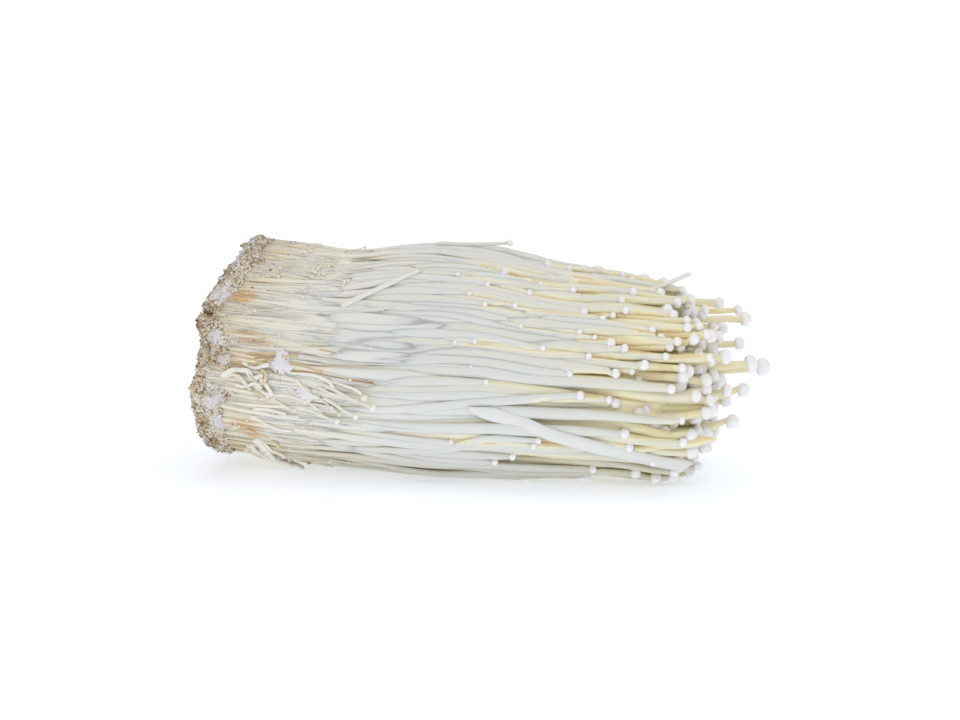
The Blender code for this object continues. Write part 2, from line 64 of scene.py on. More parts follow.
# How the cut leans: height on the section as a share of its radius, and how far the cut stands towards +X there.
SLANT_AT = (-1.0, -0.9, -0.75, -0.45, -0.2, 0.0, 0.2, 0.4, 0.55, 0.75, 0.9, 1.0)
SLANT = (4.0, 1.2, 0.0, -0.6, 0.9, 2.8, 3.2, 3.0, 4.2, 8.0, 11.4, 14.0)


def smooth(t):
    t = min(1.0, max(0.0, t))
    return t * t * (3.0 - 2.0 * t)


def along(x, xs, ys):
    """A smooth curve through the points (xs, ys), flat beyond its ends."""
    if x <= xs[0]:
        return ys[0]
    if x >= xs[-1]:
        return ys[-1]
    i = max(k for k in range(len(xs) - 1) if xs[k] <= x)
    slopes = []
    for k in (i, i + 1):
        lo, hi = max(0, k - 1), min(len(xs) - 1, k + 1)
        slopes.append((ys[hi] - ys[lo]) / (xs[hi] - xs[lo]))
    h = xs[i + 1] - xs[i]
    t = (x - xs[i]) / h
    return (
        ys[i] * (1 + 2 * t) * (1 - t) ** 2
        + slopes[0] * h * t * (1 - t) ** 2
        + ys[i + 1] * t * t * (3 - 2 * t)
        + slopes[1] * h * t * t * (t - 1)
    )


def slant(p, q):
    """How far the cut face and the stems' roots stand towards +X, in mm: the heel was cut leaning back at its top."""
    up = q / REF_R
    return along(up, SLANT_AT, SLANT) + 1.2 * math.sin(p / 9.0 + 1.0) * (1.0 - abs(up))


def flow(s, p, q):
    """Station s and section point (p, q), all in mm, to a point in space, in mm."""
    loose = smooth((s + 66.0) / 40.0)
    wp = loose * (1.1 * math.sin(s / 17.0 + 2.0 * q / REF_R + 0.4) + 0.7 * math.sin(s / 10.5 + 1.6 * p / REF_R - 1.0))
    wq = loose * (0.9 * math.sin(s / 19.0 - 1.8 * p / REF_R + 2.1) + 0.6 * math.sin(s / 11.5 + 1.9 * q / REF_R + 0.6))
    y = (p + wp) * along(s, SECTION_AT, HALF_Y) / REF_R
    z = along(s, SECTION_AT, CENTRE_Z) + (q + wq) * along(s, SECTION_AT, HALF_Z) / REF_R
    x = s + slant(p, q) * smooth((-18.0 - s) / 50.0)
    return Vector((x, y, max(0.0, z)))


# ---------------------------------------------------------------- layout on the section
def relaxed_seeds(count):
    """Evenly spread points on the section: a sunflower pattern, evened out by moving each to its cell's middle."""
    seeds = []
    for k in range(count):
        r = (REF_R - 2.0) * math.sqrt((k + 0.5) / count)
        a = 2.399963 * k + 0.35
        seeds.append((r * math.cos(a), r * math.sin(a)))
    step = REF_R / 28.0
    grid = [
        (i * step, j * step)
        for i in range(-28, 29)
        for j in range(-28, 29)
        if (i * step) ** 2 + (j * step) ** 2 <= REF_R**2
    ]
    for _ in range(24):
        sums = [[0.0, 0.0, 0] for _ in seeds]
        for gx, gy in grid:
            k = min(range(count), key=lambda n: (seeds[n][0] - gx) ** 2 + (seeds[n][1] - gy) ** 2)
            sums[k][0] += gx
            sums[k][1] += gy
            sums[k][2] += 1
        seeds = [(sx / n, sy / n) if n else seeds[k] for k, (sx, sy, n) in enumerate(sums)]
    return seeds


def corners_of(seeds):
    """Where three cells meet, or two cells and the rim: the channels that single stems can run in."""
    found = []
    n = len(seeds)

    def nearest(x, y):
        return min((sx - x) ** 2 + (sy - y) ** 2 for sx, sy in seeds)

    for i in range(n):
        for j in range(i + 1, n):
            ax, ay = seeds[i]
            bx, by = seeds[j]
            if (ax - bx) ** 2 + (ay - by) ** 2 > 22.0**2:
                continue
            for k in range(j + 1, n):
                cx, cy = seeds[k]
                d = 2 * (ax * (by - cy) + bx * (cy - ay) + cx * (ay - by))
                if abs(d) < 1e-6:
                    continue
                ux = ((ax**2 + ay**2) * (by - cy) + (bx**2 + by**2) * (cy - ay) + (cx**2 + cy**2) * (ay - by)) / d
                uy = ((ax**2 + ay**2) * (cx - bx) + (bx**2 + by**2) * (ax - cx) + (cx**2 + cy**2) * (bx - ax)) / d
                if math.hypot(ux, uy) < REF_R - 2.0 and nearest(ux, uy) > (ax - ux) ** 2 + (ay - uy) ** 2 - 1e-6:
                    found.append((ux, uy))
            mx, my = (ax + bx) / 2, (ay + by) / 2
            dx, dy = -(by - ay), bx - ax
            length = math.hypot(dx, dy)
            dx, dy = dx / length, dy / length
            b = mx * dx + my * dy
            c = mx * mx + my * my - REF_R**2
            if b * b - c < 0:
                continue
            for t in (-b + math.sqrt(b * b - c), -b - math.sqrt(b * b - c)):
                x, y = mx + t * dx, my + t * dy
                if nearest(x, y) > (ax - x) ** 2 + (ay - y) ** 2 - 1e-6:
                    found.append((x * (REF_R - 0.9) / REF_R, y * (REF_R - 0.9) / REF_R))
    return found


SEEDS = relaxed_seeds(TUFTS)
CORNERS = corners_of(SEEDS)

# The long single mushrooms: the cap's middle (x, y, z), the cap's radius, then the stem's radius under the cap.
TIPS = (
    (79.1, -12.0, 34.8, 2.5, 1.20),
    (82.4, -5.0, 32.4, 2.5, 1.20),
    (72.1, -17.0, 37.8, 2.1, 1.15),
    (69.9, -10.0, 41.6, 1.8, 1.05),
    (75.2, -1.0, 38.4, 1.9, 1.05),
    (76.7, 3.0, 44.8, 2.1, 1.15),
    (74.0, 11.0, 45.6, 1.6, 1.00),
    (65.5, -4.0, 47.8, 1.5, 0.95),
    (77.0, -7.0, 26.0, 2.0, 1.15),
    (72.5, -15.5, 27.4, 1.9, 1.10),
    (69.0, -21.5, 22.6, 1.8, 1.10),
    (74.3, -10.0, 17.6, 2.1, 1.15),
    (65.8, -16.0, 14.4, 1.7, 1.05),
    (62.8, -26.5, 35.2, 1.9, 1.10),
    (67.6, -23.5, 29.2, 1.8, 1.05),
    (60.1, -25.5, 16.2, 1.5, 1.00),
    (71.2, 12.5, 19.7, 2.0, 1.10),
    (68.2, 20.0, 30.7, 2.1, 1.10),
    (62.7, 21.5, 40.7, 1.8, 1.05),
    (61.2, 15.0, 10.7, 1.8, 1.05),)

# Stems that lie on the outside of the bunch: stations, angles round the section in degrees (180 faces -Y, 90 is up),
# heights above the stems beneath, the radius at the root and at the end, then the cap's radius (0 for none).
OUTER = {
    "outer_stem_broken": ((2.7, 16.0, 31.0, 46.0, 60.5), (190, 196, 205, 214, 223), (0.5, 0.6, 0.8, 0.7, 0.9), 1.3, 1.4, 0.0),
    "outer_stem_crossing": ((-34.0, -27.0, -20.0, -13.0), (143, 137, 131, 123), (0.5, 0.9, 0.9, 0.5), 0.65, 0.6, 0.0),
    "outer_stem_raised": ((-10.5, -3.5, 3.5, 10.5), (92, 91, 90, 89), (0.55, 0.6, 1.6, 3.4), 0.6, 0.5, 1.0),
    "outer_stem_snapped": ((46.0, 50.5, 55.0, 59.5), (104, 102, 100, 98), (0.6, 1.5, 3.4, 5.8), 0.65, 0.6, 0.0),
    "short_mushroom_1": ((-37.5, -32.5, -27.5, -22.0), (182, 185, 188, 190.5), (0.6, 1.2, 1.8, 2.2), 0.45, 0.48, 1.0),
    "short_mushroom_2": ((-37.0, -33.5, -30.5, -27.0), (189, 191.5, 194, 196), (0.6, 1.4, 2.1, 2.6), 0.45, 0.48, 0.95),
    "short_mushroom_3": ((-42.5, -39.0, -36.0, -32.5), (197, 198.5, 200, 201), (0.6, 1.3, 1.8, 2.2), 0.45, 0.45, 0.9),
    "torn_stem_1": ((-58.0, -54.0, -50.0, -46.0), (238, 240, 242, 244), (0.6, 1.5, 1.3, 1.2), 0.65, 0.6, 0.0),
    "torn_stem_2": ((-60.0, -56.5, -53.0, -49.5), (244, 246, 248, 250), (0.6, 1.5, 1.2, 1.1), 0.65, 0.6, 0.0),
    "torn_stem_3": ((-62.0, -59.0, -56.0, -53.0), (250, 252, 254, 256), (0.6, 1.3, 1.0, 0.9), 0.65, 0.6, 0.0),
}

# Pads of loose mycelium on the outside: station, angle, half length along the bunch, half width round it, thickness.
PADS = {"mycelium_pad_1": (-50.1, 174.4, 3.0, 3.8, 1.5), "mycelium_pad_2": (-42.2, 189.2, 3.3, 2.3, 1.3)}

def section_of(x, y, z):
    """The point of the section whose flow lands at (y, z) at station x; the flow's drift is small, so this is close."""
    p = y * REF_R / along(x, SECTION_AT, HALF_Y)
    q = (z - along(x, SECTION_AT, CENTRE_Z)) * REF_R / along(x, SECTION_AT, HALF_Z)
    for _ in range(6):
        at = flow(x, p, q)
        p += (y - at.y) * REF_R / along(x, SECTION_AT, HALF_Y)
        q += (z - at.z) * REF_R / along(x, SECTION_AT, HALF_Z)
    return p, q


def scale_at(s):
    return min(along(s, SECTION_AT, HALF_Y), along(s, SECTION_AT, HALF_Z)) / REF_R


def path_of(tip, corner):
    """A single's way over the section: along its channel, then off to where its cap is."""
    tip_p, tip_q = section_of(tip[0], tip[1], tip[2])

    def at(s):
        t = smooth((s - 26.0) / (tip[0] - 26.0))
        return corner[0] + (tip_p - corner[0]) * t, corner[1] + (tip_q - corner[1]) * t

    return at


def stem_radius(s, end_radius):
    return 0.6 + (end_radius - 0.6) * smooth((s - ROOT) / 122.0)


def pair_up():
    """Gives every single the nearest free channel, those with the fewest channels near them first."""
    targets = [section_of(*tip[:3]) for tip in TIPS]

    def reach(i, c):
        return math.hypot(targets[i][0] - c[0], targets[i][1] - c[1])

    order = sorted(range(len(TIPS)), key=lambda i: sorted(reach(i, c) for c in CORNERS)[2], reverse=True)
    free = list(CORNERS)
    chosen = [None] * len(TIPS)
    for i in order:
        best = min(free, key=lambda c: reach(i, c))
        chosen[i] = best
        free = [c for c in free if math.hypot(c[0] - best[0], c[1] - best[1]) > 3.4]
    return chosen


CHANNELS = pair_up()
SINGLES = [path_of(tip, corner) for tip, corner in zip(TIPS, CHANNELS)]



# ---------------------------------------------------------------- the view that the bunch is set out for
YAW, ELEVATION, DISTANCE = math.radians(8.0), math.radians(10.0), 750.0
AIM = np.array([0.0, 0.0, 30.0])
RIGHT = np.array([math.cos(YAW), math.sin(YAW), 0.0])
AHEAD = np.array([-math.sin(YAW) * math.cos(ELEVATION), math.cos(YAW) * math.cos(ELEVATION), -math.sin(ELEVATION)])
UPWARD = np.cross(RIGHT, AHEAD)


def seen(points):
    """Where points in the frame (mm) show from the side: along, and height, in mm at the bunch's distance."""
    d = points - AIM
    near = DISTANCE / (DISTANCE + d @ AHEAD)
    return (d @ RIGHT) * near, 30.0 * math.cos(ELEVATION) + (d @ UPWARD) * near


# ---------------------------------------------------------------- array forms of the layout
def curve(x, xs, ys):
    xs, ys = np.asarray(xs, float), np.asarray(ys, float)
    x = np.clip(np.asarray(x, float), xs[0], xs[-1])
    i = np.clip(np.searchsorted(xs, x, "right") - 1, 0, len(xs) - 2)
    lo, hi = np.maximum(np.arange(len(xs)) - 1, 0), np.minimum(np.arange(len(xs)) + 1, len(xs) - 1)
    m = (ys[hi] - ys[lo]) / (xs[hi] - xs[lo])
    h = xs[i + 1] - xs[i]
    t = (x - xs[i]) / h
    return (
        ys[i] * (1 + 2 * t) * (1 - t) ** 2
        + m[i] * h * t * (1 - t) ** 2
        + ys[i + 1] * t * t * (3 - 2 * t)
        + m[i + 1] * h * t * t * (t - 1)
    )


def ease(t):
    t = np.clip(t, 0.0, 1.0)
    return t * t * (3.0 - 2.0 * t)


def width_at(s):
    return curve(s, SECTION_AT, HALF_Y)


def height_at(s):
    return curve(s, SECTION_AT, HALF_Z)


def middle_at(s):
    return curve(s, SECTION_AT, CENTRE_Z)


def place(s, p, q, floor=0.0):
    """flow() for arrays, in the frame, in mm. floor keeps points at least that far above the surface beneath."""
    s, p, q = np.broadcast_arrays(np.asarray(s, float), p, q)
    loose = ease((s + 66.0) / 40.0)
    wp = loose * (1.1 * np.sin(s / 17.0 + 2.0 * q / REF_R + 0.4) + 0.7 * np.sin(s / 10.5 + 1.6 * p / REF_R - 1.0))
    wq = loose * (0.9 * np.sin(s / 19.0 - 1.8 * p / REF_R + 2.1) + 0.6 * np.sin(s / 11.5 + 1.9 * q / REF_R + 0.6))
    y = (p + wp) * width_at(s) / REF_R
    z = middle_at(s) + (q + wq) * height_at(s) / REF_R
    up = q / REF_R
    lean = curve(up, SLANT_AT, SLANT) + 1.2 * np.sin(p / 9.0 + 1.0) * (1.0 - np.abs(up))
    x = s + lean * ease((-18.0 - s) / 50.0)
    return np.stack([x - OFF[0], y - OFF[1], np.maximum(floor, z) - OFF[2]], -1)


rng = np.random.default_rng(813)

# ---------------------------------------------------------------- caps that show on the side, as seen(): along, height, radius
SIDE_CAPS = (
    (59.9, 37.2, 1.7), (53.9, 43.4, 1.5), (57.4, 42.6, 1.3), (57.7, 39.8, 1.4), (60.8, 40.3, 1.4), (63.0, 38.4, 1.4),
    (56.0, 50.7, 1.1), (55.2, 47.6, 1.4), (58.8, 48.2, 1.3), (54.9, 37.0, 1.3), (52.9, 36.4, 1.4), (63.8, 32.2, 1.1),
    (56.4, 29.1, 1.3), (53.5, 23.5, 1.4), (56.0, 14.6, 1.0), (56.4, 8.7, 1.3), (40.6, 9.8, 1.5), (41.4, 6.4, 1.4),
    (45.6, 29.8, 1.5), (51.5, 32.8, 1.0), (37.9, 28.0, 1.4), (41.7, 28.0, 1.0), (36.3, 35.6, 1.5), (40.0, 35.0, 1.3),
    (47.6, 39.2, 1.1), (50.3, 38.4, 1.2), (40.0, 39.8, 1.1), (33.9, 42.0, 1.1), (40.6, 45.2, 1.0), (39.1, 48.2, 1.1),
    (36.4, 44.5, 0.9), (28.8, 44.5, 1.1), (27.4, 39.3, 1.0), (25.1, 37.5, 1.3), (31.3, 37.8, 0.7), (35.7, 20.2, 1.0),
    (24.4, 28.6, 1.0), (12.2, 20.2, 0.9), (14.6, 6.3, 1.0), (8.5, 3.9, 1.0), (3.8, 2.5, 1.0), (16.1, 52.1, 0.9),
    (13.4, 49.6, 1.0), (26.7, 50.1, 0.7), (10.4, 40.9, 0.7), (17.1, 35.1, 0.9), (9.1, 46.0, 0.7), (4.4, 47.7, 0.8),
    (1.1, 51.7, 0.8), (0.8, 46.8, 0.7), (-3.4, 50.1, 0.7), (-7.1, 54.9, 0.7), (-2.1, 58.0, 0.6), (1.8, 56.4, 0.6),
    (5.5, 54.7, 0.6), (-2.1, 37.8, 0.7), (-8.1, 36.7, 0.7), (0.8, 25.3, 0.7), (-9.0, 8.0, 0.7), (39.6, 56.0, 1.0),
    (13.7, 61.0, 0.6), (17.8, 58.9, 0.6),
)


side_s, side_a = np.meshgrid(np.arange(-72.0, 72.0, 0.5), np.radians(np.arange(84.0, 262.0, 1.0)), indexing="ij")
side_x, side_v = seen(place(side_s, (REF_R - 0.5) * np.cos(side_a), (REF_R - 0.5) * np.sin(side_a)))


def under(x, v):
    """The station and section angle of the side's point that shows at this place along and at this height."""
    k = np.unravel_index(np.argmin((side_x - x) ** 2 + (side_v - v) ** 2), side_x.shape)
    return side_s[k], side_a[k]


def side_targets():
    """The station and section angle under each of those caps."""
    return [(*under(cx, cv), r) for cx, cv, r in SIDE_CAPS]


# ---------------------------------------------------------------- every long stem, as a curve over the section
S = np.linspace(ROOT, 84.0, 36)
K = len(S)
SCALE = np.stack([width_at(S), height_at(S)], -1) / REF_R  # section to mm at each slice

stems = []  # dicts: path (K, 2) on the section, end station, root, end and cap radii, how free it is


def add_stem(path, end, r0, r1, cap, free, kind, name=None):
    stems.append(dict(path=path, end=end, r0=r0, r1=r1, cap=cap, free=free, kind=kind, name=name))


def wander(size):
    """A smooth sideways drift that starts at nothing at the root."""
    t = (S - ROOT) / 150.0
    out = np.zeros((K, 2))
    for axis in range(2):
        for n in (0.8, 1.5, 2.3):
            out[:, axis] += rng.normal() / n * np.sin(2 * np.pi * n * t * 0.9 + rng.uniform(0, 6.28))
    out -= out[0]
    return out * (size * ease(t * 4.0))[:, None]


def round_path(a, rho):
    return np.stack([rho * np.cos(a), rho * np.sin(a)], -1)


for i, (tip, way) in enumerate(zip(TIPS, SINGLES)):
    add_stem(np.array([way(s) for s in S]), tip[0], 0.6, tip[4], tip[3], 0.0, "single", f"mushroom_{i + 1:02d}")

for s_end, angle, r in side_targets():
    a0 = angle + rng.normal() * math.radians(4.0)
    t = ease((S - ROOT) / (s_end - ROOT))
    a = a0 + (angle - a0) * t
    r *= 1.0 + 0.14 * max(0.0, min(1.0, (1.3 - r) / 0.4))
    add_stem(round_path(a, (REF_R - 2.0) + 1.7 * t), s_end, rng.uniform(0.45, 0.6),
             min(1.2, 0.48 + 0.60 * r) * rng.uniform(0.92, 1.06), r, 0.25, "side")

# the skin of the bunch elsewhere: the same kind of stems, ending anywhere in its outer half
SKIN = 118
for k in range(SKIN):
    a0 = math.radians(-106.0 + 199.0 * (k + 0.5) / SKIN) + rng.normal() * 0.02
    end = 61.0 - 72.0 * rng.beta(1.15, 2.3)
    grown = float(ease((end + 30.0) / 90.0))
    a = a0 + rng.normal() * math.radians(5.0) * ease((S - ROOT) / 110.0)
    cap = (0.75 + 0.85 * grown) * rng.uniform(0.85, 1.15)
    add_stem(round_path(a, REF_R - 1.0 + 0.0 * S), end, rng.uniform(0.45, 0.6),
             min(1.2, 0.48 + 0.60 * cap) * rng.uniform(0.92, 1.1), cap, 1.0, "skin")

# stems that taper away beneath their neighbours
for k in range(74):
    a0 = rng.uniform(0, 2 * np.pi)
    end = rng.uniform(-14.0, 50.0)
    drift = rng.normal() * math.radians(5.0)
    t = ease((S - ROOT) / (end - ROOT))
    late = ease((S - end + 30.0) / 34.0)
    add_stem(round_path(a0 + drift * t, REF_R - 0.8 - 2.4 * late), end, rng.uniform(0.45, 0.6),
             rng.uniform(0.9, 1.5), 0.0, 1.0, "merging")

# within: long thick ones, whose caps make the bunch's end
INNER = 310
for k in range(INNER):
    rho = (REF_R - 3.4) * math.sqrt((k + 0.5) / INNER)
    a = 2.399963 * k
    root = np.array([rho * math.cos(a), rho * math.sin(a)]) + rng.normal(size=2) * 0.6
    q = root[1] / REF_R
    end = 69.5 - 12.0 * abs(q) ** 2.2 - 2.5 * abs(root[0] / REF_R) ** 2 + rng.normal() * (1.0 + 2.4 * q * q) - rng.exponential(8.5)
    r1 = rng.uniform(1.05, 1.55)
    late = ease((S - 22.0) / 42.0)[:, None]
    add_stem(root + wander(1.6) + late * rng.normal(size=2) * 2.4, end, rng.uniform(0.5, 0.7), r1,
             min(2.2, 1.38 * r1 * rng.uniform(0.92, 1.2)), 1.0, "inner")

# stems that cross over the others on the outside
for k in range(26):
    a0 = rng.uniform(0, 2 * np.pi)
    drift = rng.choice([-1.0, 1.0]) * math.radians(rng.uniform(9.0, 24.0))
    end = rng.uniform(2.0, 54.0)
    t = ease((S - ROOT) / (end - ROOT))
    grown = float(ease((end + 40.0) / 105.0))
    add_stem(round_path(a0 + drift * t, REF_R - 1.2 + 1.4 * t), end, 0.45, (0.62 + 0.45 * grown) * rng.uniform(0.9, 1.1),
             (0.7 + 0.85 * grown) * rng.uniform(0.85, 1.1), 0.7, "crossing")

N = len(stems)
END = np.array([m["end"] for m in stems])
R0 = np.array([m["r0"] for m in stems])
R1 = np.array([m["r1"] for m in stems])
CAP = np.array([m["cap"] for m in stems])
FREE = np.array([m["free"] for m in stems])
MERGING = np.array([m["kind"] == "merging" for m in stems])
AT = np.array([m["path"] for m in stems]) * SCALE  # (N, K, 2) in mm across the bunch
FIRST = AT.copy()


def stem_r(i, s):
    """A stem's radius at station s: thin at the root, full from halfway, a little narrower under the cap."""
    full = ease((s - ROOT + 4.0) / np.minimum(84.0, END[i] - ROOT + 12.0))
    swell = 1.0 + 0.10 * math.sin(2.7 * i) * np.sin(s / 9.0 + i) * full
    r = (R0[i] + (R1[i] - R0[i]) * full) * swell
    if MERGING[i]:
        return r * np.maximum(0.14, ease((END[i] - s) / 30.0) ** 0.6)
    if CAP[i] > 0.0:
        return r * (1.0 - 0.14 * ease((s - END[i] + 16.0) / 14.0))
    return r


RAD = np.stack([stem_r(i, S) for i in range(N)])
near_cap = np.exp(-(((S[None, :] - (END[:, None] - 1.2)) / 2.4) ** 2))
RAD = np.maximum(RAD, CAP[:, None] * near_cap)
ALIVE = S[None, :] <= END[:, None] + 2.0

shell = rng.normal(size=(6, 3))


def envelope(angle, s):
    """How far stems may stand out of the section, in mm: uneven round the bunch, looser towards the caps."""
    e = sum(shell[n, 0] * np.sin((n + 2) * angle + s / (16.0 + 5 * n) + 6.0 * shell[n, 1]) for n in range(6)) * 0.22
    return e + 1.2 * ease((s - 40.0) / 30.0)


def neighbours(reach):
    """Pairs of slices of stems that lie within reach of each other, in mm."""
    left, right = [], []
    for k in range(K):
        ids = np.nonzero(ALIVE[:, k])[0]
        if len(ids) < 2:
            continue
        x = AT[ids, k]
        d2 = (x[:, None, 0] - x[None, :, 0]) ** 2 + (x[:, None, 1] - x[None, :, 1]) ** 2
        a, b = np.nonzero(np.triu(d2 < reach**2, 1))
        left.append(ids[a] * K + k)
        right.append(ids[b] * K + k)
    return np.concatenate(left), np.concatenate(right)


def settle(rounds=72):
    flat_r = (RAD * 0.86).ravel()
    weight = np.repeat(FREE, K)
    for n in range(rounds):
        if n % 7 == 0:
            left, right = neighbours(5.0)
            want = flat_r[left] + flat_r[right]
        flat = AT.reshape(-1, 2)
        d = flat[left] - flat[right]
        length = np.sqrt((d**2).sum(1)) + 1e-6
        over = np.maximum(0.0, want - length)
        hit = over > 0
        push = d[hit] / length[hit, None] * over[hit, None]
        li, ri = left[hit], right[hit]
        wl, wr = weight[li], weight[ri]
        total = wl + wr + 1e-6
        move = np.zeros_like(flat)
        count = np.zeros(len(flat))
        for axis in range(2):
            move[:, axis] += np.bincount(li, push[:, axis] * wl / total, len(flat))
            move[:, axis] -= np.bincount(ri, push[:, axis] * wr / total, len(flat))
        count += np.bincount(li, minlength=len(flat)) + np.bincount(ri, minlength=len(flat))
        flat += move / np.maximum(1.0, count * 0.45)[:, None]
        AT[:] = flat.reshape(N, K, 2)
        smooth_by = 0.62 * (weight.reshape(N, K)[:, 1:-1, None] > 0)
        AT[:, 1:-1] += smooth_by * (0.5 * (AT[:, :-2] + AT[:, 2:]) - AT[:, 1:-1])
        # back inside the bunch
        angle = np.arctan2(AT[:, :, 1] / SCALE[:, 1], AT[:, :, 0] / SCALE[:, 0])
        room = envelope(angle, S[None, :]) - RAD
        a = SCALE[None, :, 0] * REF_R + room
        b = SCALE[None, :, 1] * REF_R + room
        out = np.sqrt((AT[:, :, 0] / a) ** 2 + (AT[:, :, 1] / b) ** 2)
        inside = np.where((out > 1.0) & (FREE[:, None] > 0), 1.0 / np.maximum(out, 1e-6), 1.0)
        AT[:] *= (1.0 + 0.6 * (inside - 1.0))[:, :, None]
        # above the surface beneath
        low = RAD * 0.7 - middle_at(S)[None, :]
        AT[:, :, 1] = np.where(FREE[:, None] > 0, np.maximum(AT[:, :, 1], low), AT[:, :, 1])
        # side caps stay by their places
        held = (FREE > 0) & (FREE < 0.5)
        AT[held] += (0.10 * near_cap[held] + 0.01)[:, :, None] * (FIRST[held] - AT[held])
        AT[:, 0] += 0.5 * (FIRST[:, 0] - AT[:, 0])


settle()
PATH = AT / SCALE  # back on the section


def cover():
    """How far each slice of each stem is hidden under others, from 0 to 1, spread a little along the stem."""
    left, right = neighbours(5.5)
    flat = AT.reshape(-1, 2)
    r = RAD.ravel()
    out = unit(flat)
    found = np.zeros(N * K)
    for a, b in ((left, right), (right, left)):
        d = flat[b] - flat[a]
        h = (d * out[a]).sum(1)
        across = np.abs(d[:, 0] * out[a, 1] - d[:, 1] * out[a, 0])
        both = r[a] + r[b]
        found += np.bincount(a, np.clip(1.25 - across / (both + 0.2), 0, 1) * np.clip(h / (0.75 * both), 0, 1), N * K)
    found = np.clip(found, 0.0, 1.6).reshape(N, K)
    for _ in range(2):
        wide = found.copy()
        wide[:, 1:-1] = 0.25 * found[:, :-2] + 0.5 * found[:, 1:-1] + 0.25 * found[:, 2:]
        found = wide
    return np.clip(found, 0.0, 1.0)


COVER = cover()

# how far out the settled stems stand at each slice, round the bunch, in section units
BINS = 240
SKYLINE = np.full((K, BINS), 0.0)
bin_at = 2 * np.pi * np.arange(BINS) / BINS - np.pi
for k in range(K):
    ids = np.nonzero(S[k] <= END - 1.0)[0]
    for i in ids:
        p, q = PATH[i, k]
        rho = math.hypot(p, q)
        if rho < 24.0:
            continue
        turn = (bin_at - math.atan2(q, p) + np.pi) % (2 * np.pi) - np.pi
        off = np.abs(turn) * rho
        r = RAD[i, k] * 1.05
        tall = rho + np.sqrt(np.maximum(0.0, r * r - off * off))
        SKYLINE[k] = np.where(off < r, np.maximum(SKYLINE[k], tall), SKYLINE[k])
base_level = REF_R - 1.9 - 1.2 * ease((S + 40.0) / 40.0)[:, None]
SKYLINE = np.maximum(SKYLINE, base_level)
for _ in range(2):
    SKYLINE = 0.5 * SKYLINE + 0.25 * np.roll(SKYLINE, 1, 1) + 0.25 * np.roll(SKYLINE, -1, 1)
    SKYLINE[1:-1] = 0.5 * SKYLINE[1:-1] + 0.25 * (SKYLINE[:-2] + SKYLINE[2:])


def surface_at(s, a):
    """The radius on the section where the settled stems' surface lies."""
    u = np.clip((np.asarray(s, float) - S[0]) / (S[1] - S[0]), 0, K - 1.001)
    v = ((np.asarray(a, float) + np.pi) / (2 * np.pi) * BINS) % BINS
    k, j = u.astype(int), v.astype(int)
    fu, fv = u - k, v - j
    k1, j1 = k + 1, (j + 1) % BINS
    j = j % BINS
    return (SKYLINE[k, j] * (1 - fu) + SKYLINE[k1, j] * fu) * (1 - fv) + (SKYLINE[k, j1] * (1 - fu) + SKYLINE[k1, j1] * fu) * fv


CLEAR = ("visible_outer_stem_broken", "visible_outer_stem_crossing", "visible_outer_stem_raised", "visible_outer_stem_snapped", "combed_feet")


def along_path(i, s, table=None):
    """Stem i's place on the section at stations s, through its slices on a smooth curve."""
    s = np.asarray(s, float)
    u = np.clip((s - S[0]) / (S[1] - S[0]), 0, K - 1.0001)
    k = u.astype(int)
    t = (u - k)[:, None]
    pts = (PATH if table is None else table)[i]
    if pts.ndim == 1:
        pts = pts[:, None]
    a, b = pts[np.maximum(k - 1, 0)], pts[k]
    c, d = pts[np.minimum(k + 1, K - 1)], pts[np.minimum(k + 2, K - 1)]
    return 0.5 * (2 * b + (c - a) * t + (2 * a - 5 * b + 4 * c - d) * t**2 + (3 * b - a - 3 * c + d) * t**3)


# beyond each cap on the outside a crease opens between its neighbours: station, section angle, cap radius and length
CREASES = []
for i, m in enumerate(stems):
    if m["kind"] in ("side", "skin", "crossing"):
        p, q = along_path(i, [m["end"]])[0]
        if math.hypot(p, q) > REF_R - 5.0 and m["end"] > -14.0:
            CREASES.append((m["end"] - 0.3 * m["cap"], math.atan2(q, p), m["cap"], 13.0 + 20.0 * ((i * 0.7548) % 1.0)))

